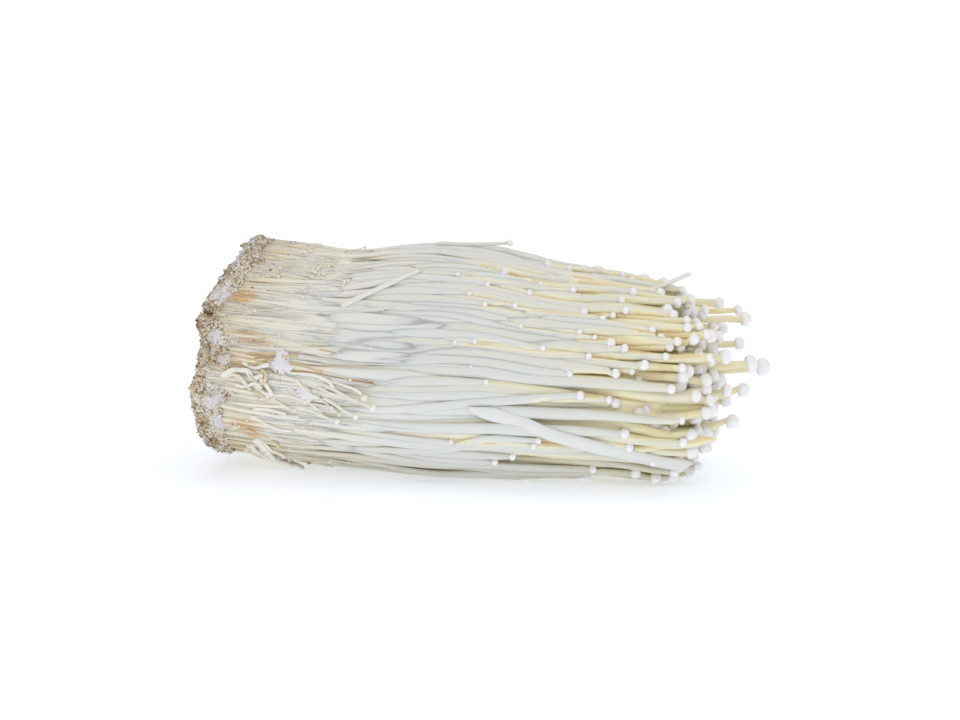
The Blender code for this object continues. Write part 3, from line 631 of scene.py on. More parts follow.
# ---------------------------------------------------------------- meshes
class Piece:
    """Gathers tubes and other grids into one mesh, with the attributes that its material reads."""

    def __init__(self, name):
        self.name = name
        self.verts, self.tint, self.grain, self.faces, self.uvs, self.total = [], [], [], [], [], 0
        self.shelf_x, self.shelf_y, self.shelf_h = 0.0, 0.0, 0.0

    def room(self, length, width):
        """A free oblong on the piece's map, in mm: shelves 170 mm long."""
        if self.shelf_x + length > 172.0:
            self.shelf_x, self.shelf_y, self.shelf_h = 0.0, self.shelf_y + self.shelf_h + 0.5, 0.0
        spot = (self.shelf_x, self.shelf_y)
        self.shelf_x += length + 0.7
        self.shelf_h = max(self.shelf_h, width)
        return spot

    def grid(self, points, tint, grain, wrap=True, start=True, end=True, size=None):
        """A grid of points (rows, columns, 3) in mm. tint is four numbers a point: along, depth, cap, chance.
        grain is where the point lies in the stems' own frame. The rows close round when wrap is set, and the first and
        last rows close to a point when start and end are."""
        rows, cols = points.shape[:2]
        base = self.total
        verts = [points.reshape(-1, 3)]
        tints = [np.broadcast_to(tint, (rows, cols, 4)).reshape(-1, 4)]
        grains = [np.broadcast_to(grain, (rows, cols, 3)).reshape(-1, 3)]
        steps = np.linalg.norm(np.diff(points.mean(1), axis=0), axis=1) if rows > 1 else np.zeros(0)
        if size is None:
            step = np.maximum(steps, np.abs(np.diff(np.linalg.norm(points - points.mean(1, keepdims=True), axis=-1).mean(1))))
            u = np.concatenate([[0.0], np.cumsum(step)])
            around = np.linalg.norm(np.diff(points, axis=1), axis=-1).sum(1).max() * (cols / max(1, cols - 1) if wrap else 1.0)
        else:
            u, around = np.linspace(0.0, size[0], rows), size[1]
        around = max(around, 0.4)
        pad = 0.5
        ox, oy = self.room(u[-1] + 2 * pad, around)
        u = u + ox + pad
        v = oy + around * np.arange(cols + 1) / (cols if wrap else max(1, cols - 1))
        r, c = np.meshgrid(np.arange(rows - 1), np.arange(cols if wrap else cols - 1), indexing="ij")
        r, c = r.ravel(), c.ravel()
        n = (c + 1) % cols
        self.faces.append(np.stack([base + r * cols + c, base + (r + 1) * cols + c, base + (r + 1) * cols + n, base + r * cols + n], -1))
        self.uvs.append(np.stack([
            np.stack([u[r], v[c]], -1), np.stack([u[r + 1], v[c]], -1),
            np.stack([u[r + 1], v[c + 1]], -1), np.stack([u[r], v[c + 1]], -1)], 1))
        extra = 0
        for on, row, du in ((start, 0, -pad), (end, rows - 1, pad)):
            if not on or not wrap:
                continue
            middle = points[row].mean(0)
            apex = base + rows * cols + extra
            extra += 1
            verts.append(middle[None])
            tints.append(tints[0].reshape(rows, cols, 4)[row].mean(0)[None])
            grains.append(grains[0].reshape(rows, cols, 3)[row].mean(0)[None])
            c = np.arange(cols)
            n = (c + 1) % cols
            a, b = base + row * cols + c, base + row * cols + n
            top = np.full(cols, apex)
            tri = np.stack([a, b, top], -1) if row == 0 else np.stack([b, a, top], -1)
            ua, va, vb = u[row], v[c], v[c + 1]
            peak = np.stack([np.full(cols, ua + du), (va + vb) / 2], -1)
            first, second = np.stack([np.full(cols, ua), vb], -1), np.stack([np.full(cols, ua), va], -1)
            uv = np.stack([second, first, peak] if row == 0 else [first, second, peak], 1)
            self.faces.append(tri)
            self.uvs.append(uv)
        self.verts += verts
        self.tint += tints
        self.grain += grains
        self.total += rows * cols + extra

    def open_creases(self):
        """Sinks a tapering crease into the stems beyond each cap on the outside, and marks it in the depth, which the
        flesh paints as the crease's shade.
        """
        self.tint = [np.array(t) for t in self.tint]
        for points, tint in zip(self.verts, self.tint):
            tint[:, 1] = np.minimum(tint[:, 1], 0.80)
            s = points[:, 0] + OFF[0]
            wide, tall = width_at(s) / REF_R, height_at(s) / REF_R
            p, q = (points[:, 1] + OFF[1]) / wide, (points[:, 2] - middle_at(s)) / tall
            wp = 1.1 * np.sin(s / 17.0 + 2.0 * q / REF_R + 0.4) + 0.7 * np.sin(s / 10.5 + 1.6 * p / REF_R - 1.0)
            wq = 0.9 * np.sin(s / 19.0 - 1.8 * p / REF_R + 2.1) + 0.6 * np.sin(s / 11.5 + 1.9 * q / REF_R + 0.6)
            p, q = p - wp, q - wq
            angle, rho = np.arctan2(q, p), np.hypot(p, q)
            mark = np.zeros(len(points))
            for end, at, cap, long in CREASES:
                u = (s - end) / long
                near = np.nonzero((u > -0.01) & (u < 1.0) & (rho > REF_R - 8.0))[0]
                if len(near) == 0:
                    continue
                off = np.abs((angle[near] - at + np.pi) % (2 * np.pi) - np.pi) * 33.0
                left = 1.0 - np.clip(u[near], 0.0, 1.0)
                m = ease(1.3 - off / (0.85 * cap * left**0.8 + 0.15)) * left**0.5
                mark[near] = np.maximum(mark[near], m)
            mark *= tint[:, 2] < 0.05
            # painted shade: the crease's mark raises the depth, which the flesh paints ochre as the crease's shadow
            tint[:, 1] = np.maximum(tint[:, 1], 0.80 * (mark > 0.02) * np.minimum(1.0, 4.0 * mark) + 0.20 * mark)
            sunk = 1.0 - 0.55 * mark / np.maximum(10.0, rho)
            points[:, 1] = (points[:, 1] + OFF[1]) * sunk - OFF[1]
            points[:, 2] = (points[:, 2] - middle_at(s)) * sunk + middle_at(s)

    def make(self, material, slot, *nodes, smooth=True):
        if slot in ("packed_stems", "single_mushroom") and self.name not in CLEAR:
            self.open_creases()
        verts = np.concatenate(self.verts) / 1000.0
        verts[:, 2] = np.maximum(verts[:, 2], 0.0)  # flat where it rests
        quads = np.concatenate([f for f in self.faces if f.shape[1] == 4]) if any(f.shape[1] == 4 for f in self.faces) else np.zeros((0, 4), int)
        tris = np.concatenate([f for f in self.faces if f.shape[1] == 3]) if any(f.shape[1] == 3 for f in self.faces) else np.zeros((0, 3), int)
        quv = [u for u in self.uvs if u.shape[1] == 4]
        tuv = [u for u in self.uvs if u.shape[1] == 3]
        uv = np.concatenate([u.reshape(-1, 2) for u in quv] + [u.reshape(-1, 2) for u in tuv])
        loops = np.concatenate([quads.ravel(), tris.ravel()])
        mesh = bpy.data.meshes.new(self.name)
        mesh.vertices.add(len(verts))
        mesh.vertices.foreach_set("co", verts.astype(np.float32).ravel())
        mesh.loops.add(len(loops))
        mesh.loops.foreach_set("vertex_index", loops.astype(np.int32))
        sizes = np.concatenate([np.full(len(quads), 4), np.full(len(tris), 3)])
        mesh.polygons.add(len(sizes))
        mesh.polygons.foreach_set("loop_start", np.concatenate([[0], np.cumsum(sizes)[:-1]]).astype(np.int32))
        mesh.update(calc_edges=True)
        mesh.validate()
        if smooth:
            mesh.polygons.foreach_set("use_smooth", np.ones(len(sizes), bool))
        layer = mesh.uv_layers.new(name="OFBake")
        extent = max(172.0, self.shelf_y + self.shelf_h)
        layer.uv.foreach_set("vector", (uv / extent).astype(np.float32).ravel())
        tint = mesh.color_attributes.new("tint", "FLOAT_COLOR", "POINT")
        tint.data.foreach_set("color", np.concatenate(self.tint).astype(np.float32).ravel())
        grain = mesh.attributes.new("grain", "FLOAT_VECTOR", "POINT")
        grain.data.foreach_set("vector", np.concatenate(self.grain).astype(np.float32).ravel())
        piece = bpy.data.objects.new(self.name, mesh)
        bpy.context.scene.collection.objects.link(piece)
        mesh.materials.append(material)
        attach(piece, "root")
        if nodes:
            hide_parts(*nodes)
        return piece


# Down a cap from its gill side to its top: how far back from the top in cap radii, and how wide there. The first ring is
# the stem's neck.
CAP_RINGS = ((1.72, None), (1.66, 0.46), (1.60, 0.74), (1.42, 0.93), (1.12, 1.0), (0.80, 0.97), (0.50, 0.855), (0.25, 0.66), (0.08, 0.39))


def stem_tube(piece, points, radii, out, depth, chance, grain_of, cap=0.0, sides=8, flat=None, tilt=None, end="round", along=None, seam_shade=0.45):
    """A stem along points (n, 3) with these radii, out the way that it faces outward, and a cap on its end.
    flat squeezes it outward and widens it sideways, from 0 to 1 at each point. end is round, blunt or torn.
    The last argument is how much painted shade, in the hollows' colour, its lower half takes."""
    points = np.asarray(points, float)
    radii = np.asarray(radii, float)
    n = len(points)
    tangent = np.empty_like(points)
    tangent[1:-1] = points[2:] - points[:-2]
    tangent[0], tangent[-1] = points[1] - points[0], points[-1] - points[-2]
    tangent = unit(tangent)
    top = unit(out - (out * tangent).sum(-1, keepdims=True) * tangent)
    side = np.cross(tangent, top)
    flat = np.zeros(n) if flat is None else np.asarray(flat)
    lobes = 0.035 * math.sin(37.0 * chance), 6.28 * chance
    turn = 2 * np.pi * (np.arange(sides) / sides) + 6.28 * chance
    ripple = 1.0 + lobes[0] * np.cos(3 * turn + lobes[1]) + 0.03 * np.cos(2 * turn + 5 * chance)
    across = (radii * (1.0 + 1.0 * flat))[:, None, None] * (side[:, None, :] * (np.cos(turn) * ripple)[None, :, None])
    upward = (radii * (1.0 - 0.42 * flat))[:, None, None] * (top[:, None, :] * (np.sin(turn) * ripple)[None, :, None])
    ring = points[:, None, :] + across + upward
    rows = [ring]
    capness = [np.zeros(n)]
    spot = [np.arange(n)]
    if cap > 0.0:
        tip = points[-1]
        way = tangent[-1]
        if tilt is not None:
            way = unit(way + tilt)
        s2 = unit(np.cross(way, top[-1]))
        t2 = np.cross(s2, way)
        squash = 0.80 + 0.17 * ((chance * 7.3) % 1.0)
        keep = ((tip - points) @ tangent[-1]) > 1.9 * cap * squash
        keep[0] = True
        last = int(np.nonzero(keep)[0][-1]) + 1
        rows = [ring[:last]]
        capness = [np.zeros(last)]
        spot = [np.arange(last)]
        neck = min(radii[-1], 0.66 * cap)
        for back, wide in CAP_RINGS:
            w = neck if wide is None else max(wide * cap, neck * 1.06 if back > 1.5 else 0.0)
            wave = 1.0 + 0.04 * np.cos(2 * turn + 11 * chance) + 0.025 * np.cos(3 * turn + 5 * chance)
            at = tip - way * (back * cap * squash)
            rows.append((at + w * (s2[None] * (np.cos(turn) * wave)[:, None] + t2[None] * (np.sin(turn) * wave)[:, None]))[None])
            capness.append([0.1 if wide is None else 0.55 if back > 1.64 else 1.0])
            spot.append([n - 1])
    elif end == "blunt":
        rows.append((points[-1] + tangent[-1] * radii[-1] * 0.3 + (ring[-1] - points[-1]) * 0.78)[None])
        rows.append((points[-1] + tangent[-1] * radii[-1] * 0.12 + (ring[-1] - points[-1]) * 0.45)[None])
        capness += [[0.0], [0.0]]
        spot += [[n - 1], [n - 1]]
    elif end == "torn":
        jag = 0.9 * np.sin(3.0 * turn + 9.0 * chance) + 0.6 * np.sin(5.0 * turn + 4.0 * chance)
        lip = ring[-1] + tangent[-1] * (radii[-1] * (0.8 + jag))[:, None]
        rows.append(lip[None])
        rows.append((lip + (points[-1] - lip) * 0.45 - tangent[-1] * radii[-1] * 0.5)[None])
        capness += [[0.0], [0.0]]
        spot += [[n - 1], [n - 1]]
    grid = np.concatenate(rows)
    capness = np.concatenate(capness)
    spot = np.concatenate(spot).astype(int)
    m = len(grid)
    tint = np.zeros((m, sides, 4))
    tint[:, :, 0] = (along if along is not None else np.zeros(n))[spot][:, None]
    # painted shade: the stem's lower side takes the hollows' colour, as if shaded by the stems it lies on
    under = (0.5 - 0.5 * np.sin(turn)) ** 1.7
    tint[:, :, 1] = np.clip(depth[spot][:, None] + seam_shade * under[None, :] * (1 - capness[:, None]), 0, 1)
    tint[:, :, 2] = capness[:, None]
    tint[:, :, 3] = chance
    centre = grain_of[spot]
    grain = centre[:, None, :] + np.stack([np.zeros(sides), np.cos(turn) * 0.9, np.sin(turn) * 0.9], -1)[None]
    piece.grid(grid, tint, grain)
# ---------------------------------------------------------------- materials
def linear(r, g, b):
    return tuple((c / 12.92 if c <= 0.04045 else ((c + 0.055) / 1.055) ** 2.4) for c in (r / 255.0, g / 255.0, b / 255.0)) + (1.0,)


class Shader:
    """A small help for writing node trees."""

    def __init__(self, name):
        self.material = bpy.data.materials.new(name)
        self.material.use_nodes = True
        self.tree = self.material.node_tree
        self.out = self.tree.nodes["Principled BSDF"]
        tint = self.node("ShaderNodeAttribute", attribute_name="tint")
        parts = self.node("ShaderNodeSeparateColor")
        self.join(tint.outputs["Color"], parts.inputs[0])
        self.along, self.depth, self.cap = parts.outputs[0], parts.outputs[1], parts.outputs[2]
        self.chance = tint.outputs["Alpha"]
        self.grain = self.node("ShaderNodeAttribute", attribute_name="grain").outputs["Vector"]

    def node(self, kind, **values):
        n = self.tree.nodes.new(kind)
        for key, value in values.items():
            setattr(n, key, value)
        return n

    def join(self, a, b):
        self.tree.links.new(a, b)

    def put(self, socket, value):
        if isinstance(value, bpy.types.NodeSocket):
            self.join(value, socket)
        else:
            socket.default_value = value

    def math(self, op, a, b=0.0, c=0.0, clamp=False):
        n = self.node("ShaderNodeMath", operation=op, use_clamp=clamp)
        self.put(n.inputs[0], a)
        self.put(n.inputs[1], b)
        self.put(n.inputs[2], c)
        return n.outputs[0]

    def mix(self, t, a, b, how="MIX"):
        n = self.node("ShaderNodeMix", data_type="RGBA", blend_type=how)
        self.put(n.inputs[0], t)
        self.put(n.inputs[6], a)
        self.put(n.inputs[7], b)
        return n.outputs[2]

    def ramp(self, t, *stops, smooth=False):
        n = self.node("ShaderNodeValToRGB")
        if smooth:
            n.color_ramp.interpolation = "EASE"
        e = n.color_ramp.elements
        while len(e) < len(stops):
            e.new(0.5)
        for item, (at, colour) in zip(e, stops):
            item.position = at
            item.color = colour if not isinstance(colour, float) else (colour, colour, colour, 1.0)
        self.put(n.inputs[0], t)
        return n.outputs[0]

    def noise(self, where, scale, detail=2.0, rough=0.5, stretch=None):
        if stretch is not None:
            m = self.node("ShaderNodeMapping")
            m.inputs["Scale"].default_value = stretch
            self.put(m.inputs["Vector"], where)
            where = m.outputs[0]
        n = self.node("ShaderNodeTexNoise")
        self.put(n.inputs["Vector"], where)
        n.inputs["Scale"].default_value = scale
        n.inputs["Detail"].default_value = detail
        n.inputs["Roughness"].default_value = rough
        return n.outputs["Fac"]

    def cells(self, where, scale, feature="F1", rand=1.0):
        n = self.node("ShaderNodeTexVoronoi", feature=feature)
        self.put(n.inputs["Vector"], where)
        n.inputs["Scale"].default_value = scale
        if "Randomness" in n.inputs:
            n.inputs["Randomness"].default_value = rand
        return n

    def near(self, place, radius, stretch=(1.0, 1.0, 1.0)):
        """1 at a place in the grain's frame, falling to 0 at radius mm; stretch divides the distance along each axis."""
        scaled = self.node("ShaderNodeMapping")
        scaled.inputs["Scale"].default_value = tuple(1.0 / c for c in stretch)
        self.put(scaled.inputs["Vector"], self.grain)
        n = self.node("ShaderNodeVectorMath", operation="DISTANCE")
        self.put(n.inputs[0], scaled.outputs[0])
        n.inputs[1].default_value = tuple(a / b for a, b in zip(place, stretch))
        return self.math("SUBTRACT", 1.0, self.math("DIVIDE", n.outputs["Value"], radius), clamp=True)

    def bump(self, height, strength, distance):
        n = self.node("ShaderNodeBump")
        n.inputs["Strength"].default_value = strength
        n.inputs["Distance"].default_value = distance
        self.put(n.inputs["Height"], height)
        return n.outputs[0]


# where the substrate has stained the stems' feet: as seen(), along, height and radius; then station, angle and radius
STAIN_SEEN = ((-67.4, 49.8, 2.4), (-66.4, 38.6, 2.6), (-63.6, 37.6, 2.2), (-70.0, 32.0, 2.6), (-66.6, 32.4, 2.4), (-67.4, 12.4, 2.8), (-64.4, 10.0, 1.8),
              (-57.6, 31.6, 1.5), (-64.0, 60.4, 2.0))
STAIN_ROUND = ((-61.0, 60.0, 4.0), (-60.5, 15.0, 4.5), (-60.0, -35.0, 4.0), (-62.0, -70.0, 3.5))


def flesh(name):
    """Stems and caps: white where they have grown long, beige at the root, cream towards the caps; deep between stems a
    painted warm ochre glow stands in for light scattered through the bunch into its shade, and painted shade darkens
    the creases beyond the caps and the side that it rests on; faint streaks run along them."""
    s = Shader(name)
    patch = s.noise(s.grain, 1.0, 2.0, 0.5, (0.055, 0.14, 0.14))
    streak = s.noise(s.grain, 1.0, 3.0, 0.6, (0.10, 2.4, 2.4))
    fleck = s.noise(s.grain, 1.0, 2.0, 0.5, (0.50, 1.6, 1.6))
    shifted = s.math("ADD", s.along, s.math("MULTIPLY", s.math("SUBTRACT", patch, 0.5), 0.16))
    white = s.ramp(
        shifted,
        (0.0, linear(243, 231, 208)),
        (0.05, linear(243, 235, 217)),
        (0.13, linear(240, 236, 225)),
        (0.24, linear(233, 231, 224)),
        (0.36, linear(226, 227, 224)),
        (0.60, linear(225, 226, 222)),
        (0.80, linear(228, 227, 216)),
        (0.91, linear(236, 230, 203)),
        (1.0, linear(242, 233, 194)),
    )
    cream = s.ramp(
        shifted,
        (0.0, linear(233, 213, 180)),
        (0.05, linear(235, 222, 196)),
        (0.14, linear(234, 227, 209)),
        (0.34, linear(228, 224, 210)),
        (0.62, linear(230, 226, 211)),
        (0.86, linear(236, 229, 205)),
        (1.0, linear(243, 232, 190)),
    )
    odd = s.math("ADD", s.math("MULTIPLY", s.chance, 0.62), s.math("MULTIPLY", streak, 0.75))
    colour = s.mix(s.ramp(odd, (0.50, 0.0), (1.0, 0.70)), white, cream)
    # painted light: the deeper a point lies between stems, the more it takes a bright warm ochre that stands in for
    # light scattered through the bunch into its shade
    painted_glow_share = s.ramp(s.depth, (0.0, 0.0), (0.25, 0.10), (0.60, 0.54), (1.0, 0.90))
    painted_hollow_glow = s.ramp(
        shifted,
        (0.0, linear(250, 234, 200)),
        (0.20, linear(250, 236, 206)),
        (0.40, linear(249, 240, 214)),
        (0.66, linear(250, 242, 208)),
        (0.84, linear(252, 242, 200)),
        (1.0, linear(253, 238, 184)),
    )
    colour = s.mix(painted_glow_share, colour, painted_hollow_glow)
    # painted shade in the creases that open beyond each cap: an ochre stands in for their shadow
    crease = s.math("MULTIPLY", s.ramp(s.depth, (0.82, 0.0), (1.0, 0.78)), s.ramp(streak, (0.25, 0.65), (0.7, 1.0)))
    colour = s.mix(crease, colour, s.mix(patch, linear(228, 208, 160), linear(216, 186, 126)))
    stain = s.math("MULTIPLY", s.ramp(fleck, (0.62, 0.0), (0.78, 0.45)), s.ramp(s.along, (0.05, 1.0), (0.26, 0.0)))
    colour = s.mix(stain, colour, linear(190, 156, 112))
    blot = None
    spots = [(*under(x, v), r * 1.25, 2.0) for x, v, r in STAIN_SEEN] + [(at, math.radians(a), r, 1.7) for at, a, r in STAIN_ROUND]
    for at, a, radius, long in spots:
        spot = s.near((float(at), float((REF_R - 0.5) * math.cos(a)), float((REF_R - 0.5) * math.sin(a))), radius, (long, 1.0, 1.0))
        blot = spot if blot is None else s.math("MAXIMUM", blot, spot)
    blot = s.math("MULTIPLY", blot, s.ramp(streak, (0.2, 0.55), (0.7, 1.0)))
    colour = s.mix(s.ramp(blot, (0.04, 0.0), (0.42, 0.80)), colour, linear(226, 178, 120))
    # painted shade: darker and duller towards the side that it rests on, standing in for the floor's contact shade
    up = s.node("ShaderNodeSeparateXYZ")
    s.join(s.grain, up.inputs[0])
    low = s.math("DIVIDE", s.math("SUBTRACT", -15.0, up.outputs[2]), 14.0, clamp=True)
    colour = s.mix(low, colour, (0.82, 0.80, 0.74, 1.0), "MULTIPLY")
    crown = s.mix(s.ramp(s.noise(s.grain, 1.0, 2.0, 0.5, (0.7, 0.7, 0.7)), (0.35, 0.0), (0.75, 1.0)), linear(250, 248, 250), linear(245, 241, 236))
    small = s.ramp(s.along, (0.10, 1.0), (0.40, 0.0))
    crown = s.mix(small, crown, linear(243, 235, 212))
    colour = s.mix(s.ramp(s.cap, (0.3, 0.0), (0.8, 1.0)), colour, crown)
    s.put(s.out.inputs["Base Color"], colour)
    s.out.inputs["Subsurface Weight"].default_value = 0.5
    s.out.inputs["Subsurface Radius"].default_value = (1.0, 0.85, 0.6)
    s.out.inputs["Subsurface Scale"].default_value = 0.0005
    s.put(s.out.inputs["Roughness"], s.ramp(streak, (0.3, 0.36), (0.8, 0.52)))
    s.out.inputs["Specular IOR Level"].default_value = 0.40
    s.put(s.out.inputs["Normal"], s.bump(streak, 0.25, 0.0003))
    return s.material


def crust(name):
    """The heel: sawdust bound by white mycelium, browner towards the cut, cottony where the mycelium is thick."""
    s = Shader(name)
    broad = s.noise(s.grain, 1.0, 3.0, 0.55, (0.16, 0.16, 0.16))
    grit = s.noise(s.grain, 1.0, 4.0, 0.7, (1.7, 1.7, 1.7))
    chips = s.cells(s.grain, 1.7)
    chip = s.node("ShaderNodeSeparateColor")
    s.join(chips.outputs["Color"], chip.inputs[0])
    white = s.mix(s.ramp(broad, (0.35, 0.0), (0.65, 1.0)), linear(217, 201, 170), linear(241, 231, 213))
    tan = s.mix(grit, linear(172, 140, 98), linear(212, 188, 148))
    edge = s.ramp(s.along, (0.0, 0.72), (0.35, 0.48), (1.0, 0.30))
    brown = s.math("ADD", s.math("MULTIPLY", chip.outputs[0], 0.65), s.math("MULTIPLY", broad, 0.55))
    brown = s.math("GREATER_THAN", s.math("ADD", brown, s.math("MULTIPLY", edge, 0.45)), 0.97)
    colour = s.mix(s.math("MULTIPLY", brown, 0.75), white, tan)
    bark = s.math("MULTIPLY", s.math("MULTIPLY", s.chance, s.math("SUBTRACT", 1.0, s.depth)), s.ramp(grit, (0.30, 1.0), (0.72, 0.55)))
    colour = s.mix(bark, colour, s.mix(s.ramp(broad, (0.4, 0.0), (0.6, 1.0)), linear(150, 124, 88), linear(190, 152, 104)))
    dark = s.math("MULTIPLY", s.ramp(chip.outputs[1], (0.70, 0.0), (0.77, 0.95)), s.ramp(grit, (0.40, 0.45), (0.60, 1.0)))
    colour = s.mix(dark, colour, linear(98, 78, 62))
    pit = s.ramp(grit, (0.32, 0.9), (0.46, 0.0))
    colour = s.mix(pit, colour, linear(124, 100, 76))
    crumb = s.ramp(s.chance, (0.0, linear(250, 249, 252)), (0.36, linear(240, 235, 230)), (0.50, linear(212, 194, 164)),
                   (0.68, linear(168, 138, 100)), (0.84, linear(114, 88, 64)), (1.0, linear(76, 58, 44)))
    colour = s.mix(s.depth, colour, crumb)
    cotton = s.mix(s.noise(s.grain, 1.0, 3.0, 0.6, (0.9, 0.9, 0.9)), linear(219, 218, 222), linear(242, 243, 249))
    colour = s.mix(s.math("MULTIPLY", s.cap, s.ramp(grit, (0.34, 0.35), (0.56, 0.95))), colour, cotton)
    s.put(s.out.inputs["Base Color"], colour)
    s.put(s.out.inputs["Roughness"], s.ramp(grit, (0.3, 0.78), (0.7, 0.96)))
    s.out.inputs["Specular IOR Level"].default_value = 0.22
    s.put(s.out.inputs["Normal"], s.bump(grit, 0.6, 0.0006))
    return s.material


def cotton(name):
    """Loose mycelium: white, a little lilac, matted, with rusty fibres at its rim."""
    s = Shader(name)
    weave = s.noise(s.grain, 1.0, 4.0, 0.65, (1.6, 1.6, 1.6))
    soft = s.noise(s.grain, 1.0, 2.0, 0.5, (0.35, 0.35, 0.35))
    colour = s.mix(s.ramp(weave, (0.3, 0.0), (0.7, 1.0)), linear(224, 221, 222), linear(246, 245, 249))
    colour = s.mix(s.ramp(soft, (0.45, 0.0), (0.8, 0.35)), colour, linear(226, 216, 208))
    rust = s.ramp(s.chance, (0.0, linear(222, 202, 168)), (0.5, linear(196, 162, 120)), (1.0, linear(160, 120, 84)))
    colour = s.mix(s.depth, colour, rust)
    s.put(s.out.inputs["Base Color"], colour)
    s.put(s.out.inputs["Roughness"], s.ramp(weave, (0.3, 0.82), (0.7, 0.98)))
    s.out.inputs["Specular IOR Level"].default_value = 0.2
    s.out.inputs["Sheen Weight"].default_value = 0.25
    s.put(s.out.inputs["Normal"], s.bump(weave, 0.55, 0.0005))
    return s.material


def dried(name):
    """Stems torn off short: tan, drying to rust at their edges and ends."""
    s = Shader(name)
    streak = s.noise(s.grain, 1.0, 3.0, 0.65, (0.22, 2.2, 2.2))
    patch = s.noise(s.grain, 1.0, 2.0, 0.5, (0.3, 0.5, 0.5))
    pale = s.mix(streak, linear(238, 233, 220), linear(246, 244, 238))
    tan = s.mix(streak, linear(214, 186, 140), linear(228, 208, 166))
    rust = s.mix(patch, linear(160, 122, 78), linear(188, 152, 104))
    age = s.math("ADD", s.chance, s.math("MULTIPLY", s.math("SUBTRACT", patch, 0.5), 0.5))
    colour = s.mix(s.ramp(age, (0.25, 0.0), (0.62, 1.0)), pale, tan)
    colour = s.mix(s.ramp(age, (0.76, 0.0), (0.98, 1.0)), colour, rust)
    colour = s.mix(s.ramp(s.depth, (0.2, 0.0), (1.0, 0.85)), colour, rust)
    crown = s.mix(patch, linear(240, 231, 205), linear(246, 240, 222))
    colour = s.mix(s.cap, colour, crown)
    s.put(s.out.inputs["Base Color"], colour)
    s.out.inputs["Subsurface Weight"].default_value = 0.4
    s.out.inputs["Subsurface Radius"].default_value = (1.0, 0.7, 0.4)
    s.out.inputs["Subsurface Scale"].default_value = 0.0005
    s.put(s.out.inputs["Roughness"], s.ramp(streak, (0.3, 0.42), (0.8, 0.64)))
    s.out.inputs["Specular IOR Level"].default_value = 0.35
    s.put(s.out.inputs["Normal"], s.bump(streak, 0.35, 0.0004))
    return s.material


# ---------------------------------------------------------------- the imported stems, as one piece for each tuft
def outward(s, points):
    """Which way is out of the bunch at these points, in the frame."""
    out = points.copy()
    out[:, 0] = 0.0
    out[:, 1] += OFF[1]
    out[:, 2] -= middle_at(s)
    return unit(out)


FLESH = flesh("mushroom_flesh")
CRUST = crust("sawdust_and_mycelium")
COTTON = cotton("mycelium_cotton")
DRIED = dried("torn_stem_flesh")
SEED_AT = np.array(SEEDS)


def pressed(s, angle):
    """How far the outermost stems are pressed flat by the wrapper: most in the bunch's middle."""
    return ease((s + 50.0) / 20.0) * ease((68.0 - s) / 46.0)


def clump_names():
    rank = {"upper": 0, "middle": 0, "lower": 0}
    names = {}
    for k in sorted(range(TUFTS), key=lambda n: (-SEEDS[n][1], SEEDS[n][0])):
        q = SEEDS[k][1]
        clump = "upper" if q > CRACKS[0] - 3.0 else "middle" if q > CRACKS[1] - 3.0 else "lower"
        rank[clump] += 1
        names[k] = f"{clump}_tuft_{rank[clump]:02d}"
    return names


TUFT_NAMES = clump_names()
mid = K // 3


def lay_stem(piece, i, sides=8):
    m = stems[i]
    end = m["end"]
    count = max(7, int((end - ROOT) / 4.4))
    s = ROOT - 1.2 + (end - ROOT + 1.2) * (1.0 - (1.0 - np.linspace(0, 1, count)) ** 1.12)
    pq = along_path(i, s)
    radii = stem_r(i, s)
    points = place(s, pq[:, 0], pq[:, 1], radii * 0.62)
    rho = np.linalg.norm(pq, axis=1)
    angle = np.arctan2(pq[:, 1], pq[:, 0])
    hidden = np.clip(along_path(i, s, COVER)[:, 0], 0.0, 1.0)
    # painted light and shade: the more a stem lies hidden under others, the more the flesh paints it in the hollows'
    # warm glow
    depth = 0.9 * hidden
    flat = pressed(s, angle) * np.clip((rho - 27.0) / 4.0, 0.0, 1.0) * (0.45 + 0.55 * ((i * 0.618) % 1.0))
    if m["cap"] > 0.0:
        flat *= ease((end - s - 3.0) / 12.0)
    chance = (i * 0.61803) % 1.0
    grain = np.stack([s, pq[:, 0] + 3.0 * chance, pq[:, 1]], -1)
    tilt = rng.normal(size=3) * (0.16 if m["cap"] > 1.2 else 0.10)
    stem_tube(piece, points, radii, outward(s, points), depth, chance, grain, m["cap"], sides, flat, tilt,
              along=(s - ROOT) / 146.0)


tuft_pieces = {k: Piece("stems_" + TUFT_NAMES[k]) for k in range(TUFTS)}
tuft_of = np.argmin(((PATH[:, mid, None, :] - SEED_AT[None]) ** 2).sum(-1), 1)
for i, m in enumerate(stems):
    if m["kind"] == "single":
        single = Piece("visible_" + m["name"])
        lay_stem(single, i, 14)
        single.make(FLESH, "single_mushroom", m["name"])
    else:
        lay_stem(tuft_pieces[tuft_of[i]], i, 7 if m["kind"] == "inner" else 10 if m["kind"] == "side" else 9)


def tuft_under(a):
    """The tuft that lies at the surface at section angle a."""
    at = np.array([math.cos(a), math.sin(a)]) * (REF_R - 4.0)
    return tuft_pieces[int(np.argmin(((SEED_AT - at) ** 2).sum(-1)))]


